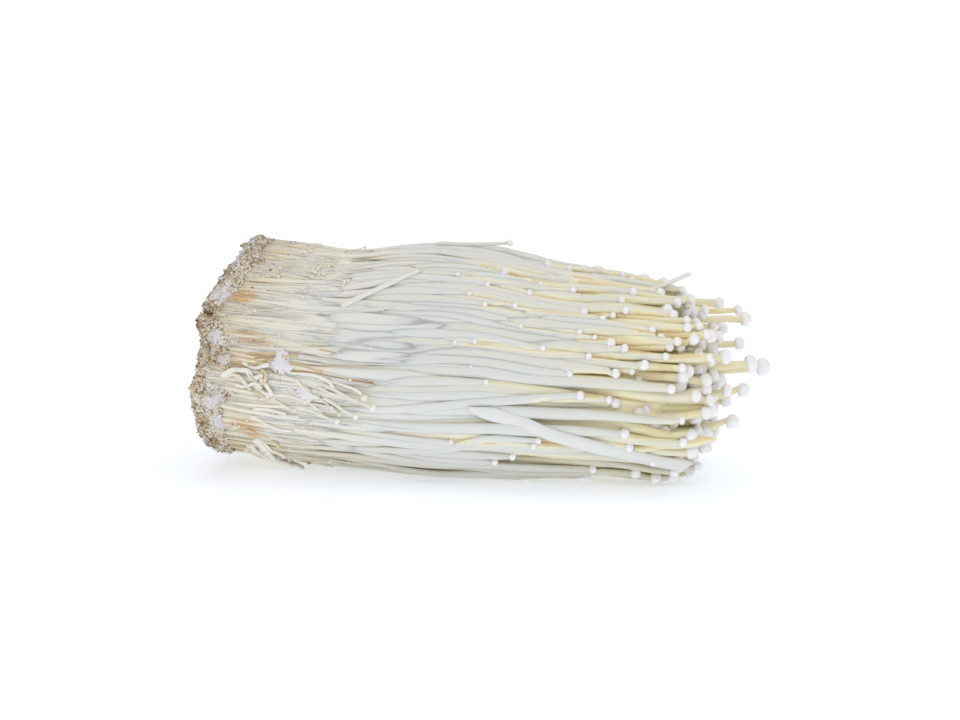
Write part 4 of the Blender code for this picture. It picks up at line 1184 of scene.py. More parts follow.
def lay_strand(piece, s, a, radii, lift, chance, cap=0.0, sides=6, flat=0.0, end="round", depth=0.0, along=None, seam_shade=0.4, tilt=0.0):
    """A strand on the bunch's surface: stations, section angles (radians), radii, and how far its middle stands over the
    surface there, in mm."""
    s, a = np.asarray(s, float), np.asarray(a, float)
    n = len(s)
    radii, lift = np.broadcast_to(radii, n), np.broadcast_to(lift, n)
    rho = surface_at(s, a) + lift * REF_R / width_at(s)
    points = place(s, rho * np.cos(a), rho * np.sin(a), radii * 0.62)
    grain = np.stack([s, rho * np.cos(a) + 2.0 * chance, rho * np.sin(a)], -1)
    stem_tube(piece, points, radii, outward(s, points), np.broadcast_to(depth, n).astype(float), chance, grain, cap, sides,
              np.full(n, float(flat)) if np.ndim(flat) == 0 else flat, rng.normal(size=3) * tilt, end,
              (s - ROOT) / 146.0 if along is None else np.broadcast_to(along, n).astype(float), seam_shade)


# ---------------------------------------------------------------- the feet of the outermost stems, pressed together
def lattice(x, y, seed):
    """Smooth noise from -1 to 1 over x and y, which are in lattice steps."""
    return lumps(np.stack([x, y, np.full(np.shape(x), 0.5)], -1), 1.0, seed)


def ridges(s, a):
    """The fine ribs of stems pressed together, from about -1 to 1: long along the bunch, narrow round it."""
    turn = np.asarray(a, float) + math.radians(0.8) * np.sin(s / 9.0)
    return (0.60 * lattice(s / 19.0 + 40.0, turn * 33.0 / 0.95, 71) + 0.40 * lattice(s / 11.0 + 40.0, turn * 33.0 / 0.52, 72))


def lay_mat():
    """A ribbed coat over the feet of the stems: their outermost layer, pressed and grown together."""
    piece = Piece("combed_feet")
    cols, rows = 840, 46
    s = np.linspace(ROOT - 4.6, -14.0, rows)[:, None] + np.zeros(cols)[None]
    a = (2 * np.pi * np.arange(cols) / cols - np.pi)[None] + np.zeros(rows)[:, None]
    edge = -42.0 + 7.5 * lattice(0 * a, a * 33.0 / 1.3, 75) + 5.0 * lattice(0 * a, a * 33.0 / 7.0, 76)
    sunk = ease((s - edge) / 13.0)
    rib = ridges(s, a)
    rho = surface_at(s, a) - 0.02 + 0.26 * rib - 3.4 * sunk + 0.25 * lattice(s / 8.0, a * 33.0 / 4.5, 77)
    points = place(s, rho * np.cos(a), rho * np.sin(a), 0.03)
    tint = np.zeros((rows, cols, 4))
    tint[..., 0] = (s - ROOT) / 146.0
    # painted shade: the troughs between the ribs take the hollows' warm colour
    tint[..., 1] = np.clip(0.10 - 0.55 * rib, 0.0, 0.6)
    tint[..., 3] = np.clip(0.45 + 0.40 * lattice(s / 30.0 + 9.0, a * 33.0 / 0.8, 78) + 0.2 * lattice(s / 12.0, a * 33.0 / 5.0, 79), 0.0, 1.0)
    grain = np.stack([s, rho * np.cos(a), rho * np.sin(a)], -1)
    piece.grid(points[:, ::-1], tint[:, ::-1], grain[:, ::-1], size=(60.0, 168.0))
    piece.make(FLESH, "packed_stems")


def lay_beneath():
    """The stems just under the outermost ones, grown so close that they read as one ribbed mass."""
    piece = Piece("stems_beneath")
    cols, rows = 330, 60
    u = np.linspace(0.0, 1.0, rows)[:, None] + np.zeros(cols)[None]
    a = (2 * np.pi * np.arange(cols) / cols - np.pi)[None] + np.zeros(rows)[:, None]
    last = 59.0 - 11.0 * np.abs(np.sin(a)) ** 2.2 + 3.0 * lattice(0 * a, a * 33.0 / 4.0, 91)
    s = -37.0 + (last + 37.0) * (1.0 - (1.0 - u) ** 1.2)
    turn = a + math.radians(1.2) * np.sin(s / 13.0)
    rib = 0.65 * lattice(s / 30.0 + 50.0, turn * 33.0 / 2.1, 92) + 0.35 * lattice(s / 17.0 + 50.0, turn * 33.0 / 1.2, 93)
    closing = np.sqrt(np.clip(1.0 - np.clip((u - 0.90) / 0.10, 0.0, 1.0) ** 2, 0.0, 1.0)) * 0.97 + 0.03
    rho = (surface_at(s, a) - 2.3 + 0.60 * rib - 1.6 * ease((-24.0 - s) / 9.0) + 0.95 * ease((s - 8.0) / 14.0) - 4.2 * ease((s - 44.0) / 16.0)) * closing
    points = place(s, rho * np.cos(a), rho * np.sin(a), 0.4)
    tint = np.zeros((rows, cols, 4))
    tint[..., 0] = (s - ROOT) / 146.0
    # painted light and shade: the mass lies mostly in the hollows' warm glow, less on its ribs
    tint[..., 1] = np.clip(0.72 - 0.5 * rib, 0.3, 1.0)
    tint[..., 3] = np.clip(0.5 + 0.5 * lattice(s / 40.0 + 9.0, a * 33.0 / 1.6, 94), 0.0, 1.0)
    grain = np.stack([s, rho * np.cos(a), rho * np.sin(a)], -1)
    piece.grid(points[:, ::-1], tint[:, ::-1], grain[:, ::-1], size=(97.0, 168.0))
    piece.make(FLESH, "packed_stems")


# ---------------------------------------------------------------- fine strands at the foot of the bunch
def lay_fine():
    # a coat of long fine ones that lie flat and taper away
    for k in range(1050):
        a0 = 2 * np.pi * ((k * 0.61803) % 1.0)
        reach = 7.0 + rng.gamma(2.0, 9.5)
        end = min(ROOT + reach, 4.0)
        n = max(6, int((end - ROOT) / 5.0) + 4)
        t = np.linspace(0.0, 1.0, n)
        s = ROOT - 4.6 + (end - ROOT + 4.6) * t
        drift = rng.normal() * math.radians(2.6)
        a = a0 + drift * t * t + math.radians(0.45) * np.sin(7.0 * t + k)
        r = rng.uniform(0.15, 0.34)
        headed = rng.random() < 0.20
        radii = r * (0.9 + 0.15 * t) * (1.0 if headed else np.maximum(0.22, 1.0 - t**3))
        lift = rng.uniform(-0.30, 0.12) - (0.0 if headed else 0.4) * t**4 + (0.15 * t if headed else 0.0)
        chance = float(np.clip(rng.normal(0.42, 0.26), 0.0, 1.0))
        lay_strand(tuft_under(a0), s, a, radii, lift, chance, rng.uniform(0.30, 0.50) if headed else 0.0, 6,
                   0.25, "round", 0.0, seam_shade=0.18, tilt=0.1)
    # pins: short and a little proud, each with its own small head, in loose groups
    groups = [(rng.uniform(0.0, 2 * np.pi), rng.uniform(4.0, 34.0)) for _ in range(46)]
    for k in range(240):
        if k % 3:
            a1, far = groups[rng.integers(0, len(groups))]
            a0, length = a1 + rng.normal() * 0.045, max(4.0, far + rng.normal() * 2.0)
            length = min(length, 16.0)
            start = ROOT - 1.0 + max(0.0, far - length)
        else:
            a0, length = rng.uniform(0.0, 2 * np.pi), 5.0 + rng.gamma(2.0, 6.5)
            start = ROOT - 1.0 + rng.exponential(2.5)
        n = max(5, int(length / 3.5) + 3)
        t = np.linspace(0.0, 1.0, n)
        s = start + length * t
        bend = rng.normal() * math.radians(3.5)
        a = a0 + bend * t * t
        r = rng.uniform(0.15, 0.27)
        lift = 0.0 + rng.uniform(0.1, 0.75) * t * t
        chance = float(np.clip(rng.normal(0.45, 0.25), 0.0, 1.0))
        lay_strand(tuft_under(a0), s, a, r * (1.0 - 0.2 * t), lift, chance, rng.uniform(0.32, 0.55), 7, 0.0, "round", 0.0, tilt=0.2)
    # wide strands that the wrapper pressed flat, with ends that start along one line
    for k in range(9):
        a0 = math.radians(148.0 + 3.6 * k + rng.normal() * 0.8) if k < 6 else rng.uniform(-1.0, 1.0)
        start = -35.5 + rng.normal() * 0.8 + 1.0 * math.sin(1.3 * k)
        end = start + rng.uniform(26.0, 46.0)
        n = max(8, int((end - start) / 3.5))
        t = np.linspace(0.0, 1.0, n)
        s = start + (end - start) * t
        a = a0 + math.radians(1.2) * np.sin(3.0 * t + k) + math.radians(rng.normal() * 1.5) * t
        r = rng.uniform(0.8, 1.1)
        radii = r * np.minimum(1.0, 0.7 + 2.5 * t) * np.maximum(0.20, 1.0 - t**1.4)
        lift = -0.05 - 1.2 * t**2
        lay_strand(tuft_under(a0), s, a, radii, lift, 0.0, 0.0, 10, 1.0, "blunt", 0.0, along=0.25, seam_shade=0.0)


# ---------------------------------------------------------------- the heel
def chance_at(i, j, k, seed):
    """A number from -1 to 1 for each lattice point."""
    h = (i * 374761393 + j * 668265263 + k * 974634521 + seed * 1274126177) & 0xFFFFFFFF
    h = ((h ^ (h >> 13)) * 1274126177) & 0xFFFFFFFF
    h = ((h ^ (h >> 16)) * 2246822519) & 0xFFFFFFFF
    return ((h >> 8) & 0xFFFF) / 32767.5 - 1.0


def lumps(points, size, seed=0):
    """Smooth noise from -1 to 1 over points (…, 3) in mm, with lumps of this size."""
    x = points / size
    i = np.floor(x).astype(np.int64)
    f = x - i
    f = f * f * (3.0 - 2.0 * f)
    total = 0.0
    for dx in (0, 1):
        for dy in (0, 1):
            for dz in (0, 1):
                w = (f[..., 0] if dx else 1 - f[..., 0]) * (f[..., 1] if dy else 1 - f[..., 1]) * (f[..., 2] if dz else 1 - f[..., 2])
                total = total + w * chance_at(i[..., 0] + dx, i[..., 1] + dy, i[..., 2] + dz, seed)
    return total


def crack(level, p):
    return level + 1.1 * np.sin(p / 6.1 + level) + 0.5 * np.sin(p / 2.6 - level)


LOBES = {
    "heel_upper": ((0.0, 23.0), CRACKS[0], None),
    "heel_middle": ((0.0, 4.0), CRACKS[1], CRACKS[0]),
    "heel_lower": ((0.0, -17.5), None, CRACKS[1]),
}
# thick white patches on the rim, as seen(): along, height, radius
COTTON_AT = ((-73.4, 49.6, 2.5), (-75.2, 37.6, 2.0), (-75.6, 26.0, 2.6), (-76.4, 20.0, 2.4), (-73.0, 31.5, 1.6), (-71.0, 59.5, 1.8), (-74.5, 14.0, 2.0),
             (-69.0, 62.0, 1.5))
# station and reach from a lobe's middle to its rim: over the cut face, round the edge and in behind the roots
PROFILE = (
    [(-75.2, 0.08 + 0.80 * k / 9) for k in range(10)]
    + [(-75.1, 0.92), (-74.8, 0.955), (-74.3, 0.98), (-73.7, 0.995), (-73.0, 1.003)]
    + [(-72.3 + 0.62 * k, 1.008) for k in range(10)]
    + [(-66.2, 0.995), (-65.7, 0.97), (-65.4, 0.93), (-65.4, 0.80), (-65.8, 0.5), (-66.0, 0.2)]
)
# where the block shows brown through the white, the same way
BARK_AT = ((-75.0, 31.9, 2.9), (-72.2, 31.2, 2.0), (-76.6, 44.0, 2.2), (-76.8, 36.0, 1.4), (-79.0, 14.0, 2.0), (-76.0, 8.6, 1.8))
COLUMNS = 260


def rim_of(centre, low, high):
    """How far a lobe reaches from its middle, for COLUMNS directions on the section."""
    t = 2 * np.pi * np.arange(COLUMNS) / COLUMNS
    r = np.arange(0.0, 70.0, 0.12)
    p = centre[0] + r[None] * np.cos(t)[:, None]
    q = centre[1] + r[None] * np.sin(t)[:, None]
    inside = np.hypot(p, q) < REF_R + 0.2
    if low is not None:
        inside &= q > crack(low, p) + 0.03
    if high is not None:
        inside &= q < crack(high, p) - 0.03
    reach = np.where(inside, 1, 0).argmin(1) * 0.12
    for _ in range(3):
        reach = 0.5 * reach + 0.25 * (np.roll(reach, 1) + np.roll(reach, -1))
    return t, reach


def cotton_mask(points):
    """How cottony the rim is at these points."""
    x, v = seen(points)
    mask = np.zeros(x.shape)
    for cx, cv, r in COTTON_AT:
        d = np.hypot((x - cx) * 0.9, v - cv)
        mask = np.maximum(mask, np.clip(1.35 - d / r, 0.0, 1.0) * (points[..., 1] < 0))
    # the same on the sides that face away
    wide = lumps(points, 6.5, 21)
    return np.maximum(mask, np.clip((wide - 0.34) * 4.0, 0.0, 1.0) * (points[..., 1] > -6.0))


ICO = np.array([(0, 1, 1.618), (0, -1, 1.618), (0, 1, -1.618), (0, -1, -1.618), (1, 1.618, 0), (-1, 1.618, 0), (1, -1.618, 0), (-1, -1.618, 0),
                (1.618, 0, 1), (-1.618, 0, 1), (1.618, 0, -1), (-1.618, 0, -1)]) / 1.902
ICO_FACES = np.array([(0, 1, 8), (0, 9, 1), (0, 8, 4), (0, 4, 5), (0, 5, 9), (1, 6, 8), (1, 7, 6), (1, 9, 7), (2, 3, 11), (2, 10, 3), (2, 4, 10),
                      (2, 5, 4), (2, 11, 5), (3, 7, 11), (3, 6, 7), (3, 10, 6), (4, 8, 10), (5, 11, 9), (6, 10, 8), (7, 9, 11)])


def crumbs(piece, centres, sizes, tint, long=None):
    """Lumpy crumbs at these places (mm), of these sizes; tint is (n, 4)."""
    n = len(centres)
    turn = rng.normal(size=(n, 4))
    turn /= np.linalg.norm(turn, axis=1, keepdims=True)
    w, x, y, z = turn.T
    spin = np.stack([
        np.stack([1 - 2 * (y * y + z * z), 2 * (x * y - z * w), 2 * (x * z + y * w)], -1),
        np.stack([2 * (x * y + z * w), 1 - 2 * (x * x + z * z), 2 * (y * z - x * w)], -1),
        np.stack([2 * (x * z - y * w), 2 * (y * z + x * w), 1 - 2 * (x * x + y * y)], -1)], 1)
    shape = rng.uniform(0.65, 1.25, size=(n, 12, 1)) * ICO[None]
    stretch = rng.uniform(0.6, 1.3, size=(n, 1, 3))
    if long is not None:
        stretch = stretch * np.stack([long, np.full(n, 0.5), np.full(n, 0.5)], -1)[:, None]
    verts = np.einsum("nij,nvj->nvi", spin, shape * stretch) * np.asarray(sizes)[:, None, None] + centres[:, None]
    base = piece.total
    piece.verts.append(verts.reshape(-1, 3))
    piece.tint.append(np.repeat(tint, 12, 0))
    piece.grain.append(verts.reshape(-1, 3))
    faces = (ICO_FACES[None] + base + 12 * np.arange(n)[:, None, None]).reshape(-1, 3)
    piece.faces.append(faces)
    uv = []
    for size in sizes:
        ox, oy = piece.room(4.2 * size, 3.4 * size)
        k = np.arange(20)
        x0, y0 = ox + (k % 5) * 0.8 * size, oy + (k // 5) * 0.8 * size
        uv.append(np.stack([np.stack([x0, y0], -1), np.stack([x0 + 0.7 * size, y0], -1), np.stack([x0, y0 + 0.7 * size], -1)], 1))
    piece.uvs.append(np.concatenate(uv))
    piece.total += 12 * n


def hairs(piece, starts, ways, lengths, radius, tint):
    """Fine curling threads from these places."""
    for at, way, length, c in zip(starts, ways, lengths, tint):
        t = np.linspace(0.0, 1.0, 5)[:, None]
        curl = rng.normal(size=3) * 0.5
        wave = rng.normal(size=3) * 0.18
        points = at + (way * t + curl * t * t + wave * np.sin(9.0 * t)) * length
        tangent = unit(np.gradient(points, axis=0))
        a = unit(np.cross(tangent, np.array([0.3, 0.5, 0.81])))
        b = np.cross(tangent, a)
        turn = 2 * np.pi * np.arange(3) / 3
        wide = (radius * (1.0 - 0.6 * t))[:, None, :]
        ring = points[:, None] + wide * (a[:, None] * np.cos(turn)[None, :, None] - b[:, None] * np.sin(turn)[None, :, None])
        piece.grid(ring, np.broadcast_to(c, (5, 3, 4)), ring)


def lay_heel():
    for n, (name, (centre, low, high)) in enumerate(LOBES.items()):
        piece = Piece("crust_" + name)
        t, reach = rim_of(centre, low, high)
        rows = len(PROFILE)
        station = np.array([s for s, _ in PROFILE])[:, None] + np.zeros(COLUMNS)[None]
        share = np.array([f for _, f in PROFILE])[:, None] + np.zeros(COLUMNS)[None]
        # squarer along the cracks than round the outside
        facing = np.hypot(centre[0] + reach * np.cos(t), centre[1] + reach * np.sin(t)) < REF_R - 1.2
        share = np.where(facing[None] & (share > 0.85), 1.0 - (1.0 - share) * 0.4, share)
        p = centre[0] + reach[None] * share * np.cos(t)[None]
        q = centre[1] + reach[None] * share * np.sin(t)[None]
        # thinner at the bunch's top and bottom
        thin = curve(q / REF_R, (-1.0, -0.8, -0.45, 0.0, 0.2, 0.45, 0.7, 0.86, 1.0), (0.55, 0.8, 1.05, 1.0, 0.86, 0.66, 0.74, 0.78, 0.52))
        station = -75.6 + (station + 75.6) * thin
        station = station + 0.5 * np.clip((share - 0.5) / 0.4, 0.0, 1.0) * np.clip((-station - 70.0) / 3.0, 0.0, 1.0)
        raw = np.stack([station, p, q], -1)
        # the side towards the stems ends unevenly
        ragged = np.clip((station + 71.5) / 4.0, 0.0, 1.0) * (np.array([f for _, f in PROFILE])[:, None] > 0.9)
        station = station + ragged * (1.5 * lumps(raw * np.array([0.2, 1.0, 1.0]), 4.2, 81) + 0.9 * lumps(raw * np.array([0.2, 1.0, 1.0]), 1.6, 82) + 0.3)
        on_rim = np.hypot(p, q) > REF_R - 1.5
        behind = np.clip((station + 68.0) / 2.0, 0.0, 1.0) * (thin > 0.0)
        # broad lumps, then knobs, then grit
        broad = lumps(raw, 5.2, 3 + n)
        knobs = lumps(raw, 2.1, 9 + n)
        grit = lumps(raw, 0.9, 15 + n)
        out = 1.0 * broad + 1.25 * np.abs(knobs) + 0.42 * grit
        grow = np.where(on_rim, out - 1.15 + 0.5 * np.sin(0.9 * station + 4.0 * lumps(raw, 9.0, 31)) * 0.4, 0.25 * knobs + 0.1 * grit) * (1.0 - 0.6 * behind)
        d = np.stack([np.cos(t), np.sin(t)], -1)[None]
        p, q = p + d[..., 0] * grow, q + d[..., 1] * grow
        face = np.clip((share[:, :] < 0.93) * (station < -72.0), 0, 1)
        station = station - face * (1.0 * broad + 0.75 * knobs + 0.3 * grit) + (1 - face) * 0.55 * lumps(raw, 3.0, 41 + n)
        station = np.maximum(station, -76.6)
        # the top of the block reaches a little further out
        station = station - 2.4 * np.clip((q / REF_R - 0.84) / 0.12, 0.0, 1.0) * (share > 0.5)
        points = place(station, p, q, 0.02)
        mask = cotton_mask(points)
        seen_x, seen_v = seen(points)
        away = unit(points - place(station, p * 0.9, q * 0.9, 0.0))
        puff = mask * (0.40 + 0.30 * lumps(points, 1.3, 51) + 0.18 * lumps(points, 0.6, 52))
        points = points + away * puff[..., None]
        points[..., 2] = np.maximum(points[..., 2], 0.02)
        tint = np.zeros((rows, COLUMNS, 4))
        tint[..., 0] = np.clip((station + 76.0) / 10.0, 0.0, 1.0)
        tint[..., 2] = np.clip(mask * 1.1, 0.0, 0.85)
        outer_edge = np.clip((-73.3 - station) / 1.5, 0.0, 1.0) * (share > 0.84)
        patchy = np.clip(0.75 + 0.9 * lumps(points, 5.0, 33), 0.0, 1.0)
        bark = np.maximum(0.85 * outer_edge * patchy, 0.45 * (share < 0.9) * patchy)
        for cx, cv, r in BARK_AT:
            d = np.hypot(seen_x - cx, seen_v - cv)
            bark = np.maximum(bark, np.clip(1.4 - d / r, 0.0, 1.0) * (points[..., 1] < 0) * 0.95)
        bark = np.maximum(bark, 0.8 * np.clip((lumps(points, 6.0, 35) - 0.30) * 3.0, 0.0, 1.0) * (points[..., 1] > -8.0))
        bark = bark * (1.0 - 0.8 * np.clip(mask, 0.0, 1.0))
        tint[..., 3] = bark
        # the grid closes in the middle of both faces
        piece.grid(points, tint, points, size=(46.0, 150.0))
        # crumbs over the rim and the cut face
        seen_rows = [r for r in range(rows - 5)]
        pick_r = rng.choice(seen_rows, size=2600, p=np.array([1.6 if PROFILE[r][1] > 0.9 else 1.1 * PROFILE[r][1] + 0.1 for r in seen_rows])
                            / sum(1.6 if PROFILE[r][1] > 0.9 else 1.1 * PROFILE[r][1] + 0.1 for r in seen_rows))
        pick_c = rng.integers(0, COLUMNS, size=2600)
        spots = points[pick_r, pick_c] + rng.normal(size=(2600, 3)) * 0.18
        m = mask[pick_r, pick_c]
        keep = rng.random(2600) > 0.75 * m
        spots, m = spots[keep], m[keep]
        sizes = 0.11 + rng.gamma(1.6, 0.095, size=len(spots))
        sizes = np.minimum(sizes, 0.62)
        spots[:, 2] = np.maximum(spots[:, 2], sizes * 1.1)
        edge = np.clip(1.0 - (spots[:, 0] + OFF[0] + 76.0) / 9.0, 0.0, 1.0)
        kind = np.clip(rng.beta(1.2, 1.5, size=len(spots)) * (0.62 + 0.30 * edge) + 0.42 * bark[pick_r, pick_c][keep] * rng.random(len(spots)), 0.0, 1.0)
        tints = np.stack([edge, np.ones(len(spots)), 0.6 * (m > 0.4), kind], -1)
        crumbs(piece, spots, sizes, tints)
        # crumbs that spill over the stems' feet
        count = 420
        lo = math.asin(max(-1.0, min(1.0, (low if low is not None else -REF_R) / REF_R)))
        hi = math.asin(max(-1.0, min(1.0, (high if high is not None else REF_R) / REF_R)))
        a = rng.uniform(lo, hi, size=count)
        a = np.where(rng.random(count) < 0.5, a, np.pi - a)
        far = -66.6 + rng.exponential(1.9, size=count)
        rho = surface_at(far, a) + rng.uniform(-0.1, 0.3, size=count)
        spots = place(far, rho * np.cos(a), rho * np.sin(a), 0.3)
        crumbs(piece, spots, np.minimum(0.42, 0.10 + rng.gamma(2.0, 0.05, size=count)),
               np.stack([np.zeros(count), np.ones(count), np.zeros(count), np.clip(rng.beta(1.2, 1.6, size=count), 0, 1)], -1))
        # splinters
        count = 130
        pick_r, pick_c = rng.choice(seen_rows, size=count), rng.integers(0, COLUMNS, size=count)
        spots = points[pick_r, pick_c]
        spots[:, 2] = np.maximum(spots[:, 2], 0.7)
        crumbs(piece, spots, rng.uniform(0.22, 0.36, size=count),
               np.stack([np.zeros(count), np.ones(count), np.zeros(count), rng.uniform(0.55, 0.98, size=count)], -1), rng.uniform(2.2, 4.2, size=count))
        # threads
        count = 190
        pick_r, pick_c = rng.integers(8, rows - 6, size=count), rng.integers(0, COLUMNS, size=count)
        at = points[pick_r, pick_c]
        ways = away[pick_r, pick_c] * rng.uniform(0.2, 0.8, size=(count, 1)) + rng.normal(size=(count, 3)) * 0.5
        high_enough = at[:, 2] > 1.2
        tints = np.stack([np.zeros(count), np.ones(count), np.full(count, 0.5), rng.uniform(0.0, 0.5, size=count)], -1)
        hairs(piece, at[high_enough], ways[high_enough], rng.uniform(0.7, 2.0, size=count)[high_enough], 0.055, tints[high_enough])
        piece.make(CRUST, "heel", name)


lay_heel()


lay_mat()
lay_beneath()
lay_fine()
for k, piece in tuft_pieces.items():
    piece.make(FLESH, "packed_stems", TUFT_NAMES[k])


# ---------------------------------------------------------------- stems, torn strands and mycelium on the outside
def free_path(stations, angles, heights, r0, r1, count):
    """Points and radii along one of the OUTER stems."""
    at = np.arange(len(stations), dtype=float)
    t = np.linspace(0.0, at[-1], count)
    s = curve(t, at, stations)
    a = np.radians(curve(t, at, angles))
    r = r0 + (r1 - r0) * t / at[-1]
    scale = np.minimum(width_at(s), height_at(s)) / REF_R
    under_it = surface_at(s, a)
    for _ in range(6):
        under_it[1:-1] = 0.25 * (under_it[:-2] + under_it[2:]) + 0.5 * under_it[1:-1]
    rho = under_it + (curve(t, at, heights) - 0.7 + 0.8 * r) / scale
    return s, a, rho, r


def lay_free(piece, s, a, rho, radii, chance, cap=0.0, sides=12, flat=0.0, end="round", depth=0.0, along=None, tilt=0.15, seam_shade=0.25):
    points = place(s, rho * np.cos(a), rho * np.sin(a), radii * 1.02)
    n = len(s)
    grain = np.stack([s, rho * np.cos(a) + 2.0 * chance, rho * np.sin(a)], -1)
    stem_tube(piece, points, radii, outward(s, points), np.broadcast_to(depth, n).astype(float), chance, grain, cap, sides,
              np.full(n, float(flat)), rng.normal(size=3) * tilt, end,
              (s - ROOT) / 146.0 if along is None else np.full(n, float(along)), seam_shade)


# the torn stems splayed out beneath the heel, by where they show
SPLAYED = {
    "torn_stem_1": (((-65.0, 8.6), (-61.4, 6.6), (-57.0, 3.8), (-52.6, 1.5)), 0.66),
    "torn_stem_2": (((-66.2, 7.2), (-62.8, 5.0), (-59.4, 2.7), (-56.2, 0.9)), 0.60),
    "torn_stem_3": (((-67.6, 6.0), (-64.8, 4.0), (-61.8, 2.2), (-58.6, 0.8)), 0.52),
}


def lay_outer():
    for name, (stations, angles, heights, r0, r1, cap) in OUTER.items():
        torn = name.startswith("torn")
        piece = Piece("visible_" + name)
        s, a, rho, radii = free_path(stations, angles, heights, r0, r1, 30 if "broken" in name else 18)
        n = len(s)
        t = np.linspace(0.0, 1.0, n)
        radii = radii * (1.0 + 0.06 * np.sin(5.0 * t + 2.0 * r0) + 0.04 * np.sin(13.0 * t))
        # where it broke off: rounded over and a little ragged
        radii = radii * np.minimum(1.0, 0.55 + 9.0 * t)
        if "broken" in name:
            radii = radii * np.minimum(1.0, 0.35 + 5.0 * t)
            lay_free(piece, s, a, rho, radii, 0.06, 0.0, 16, 0.55, "torn", np.clip((t - 0.9) * 3.0, 0.0, 0.35), along=0.36, seam_shade=0.10)
            piece.tint = [np.concatenate([g[:, :2], np.maximum(g[:, 2:3], 0.40), g[:, 3:]], 1) for g in piece.tint]
            # two finer ones grown against it
            lay_free(piece, s[2:-6], a[2:-6] + 0.030, rho[2:-6] - 0.55, radii[2:-6] * 0.42 * np.maximum(0.3, 1.0 - t[2:-6] ** 2), 0.55, 0.0, 9, 0.2)
        elif torn:
            passes, r = SPLAYED[name]
            for k in range(3):
                shift = (0.0, 0.9, -0.8)[k]
                moved = tuple((x + 0.8 * shift, v + 0.9 * shift * (0.4 + 0.2 * m)) for m, (x, v) in enumerate(passes[: 4 - (k > 0)]))
                lay_loose(piece, moved, r * (1.0, 0.62, 0.5)[k], 0.4, (2.3, 1.5, 1.1)[k], 0.0, (0.0, 0.08, 0.16)[k])
        else:
            if "snapped" in name or "crossing" in name:
                lay_free(piece, s, a, rho, radii, 0.1, 0.0, 12, 0.15, "torn", 0.0, along=0.30, seam_shade=0.10)
                piece.tint = [np.concatenate([g[:, :2], np.maximum(g[:, 2:3], 0.45), g[:, 3:]], 1) for g in piece.tint]
            else:
                lay_free(piece, s, a, rho, radii, 0.4 + 0.1 * r0, cap, 12, 0.0, "round", 0.0)
        piece.make(DRIED if torn else FLESH, "torn_stem" if torn else "single_mushroom", name)


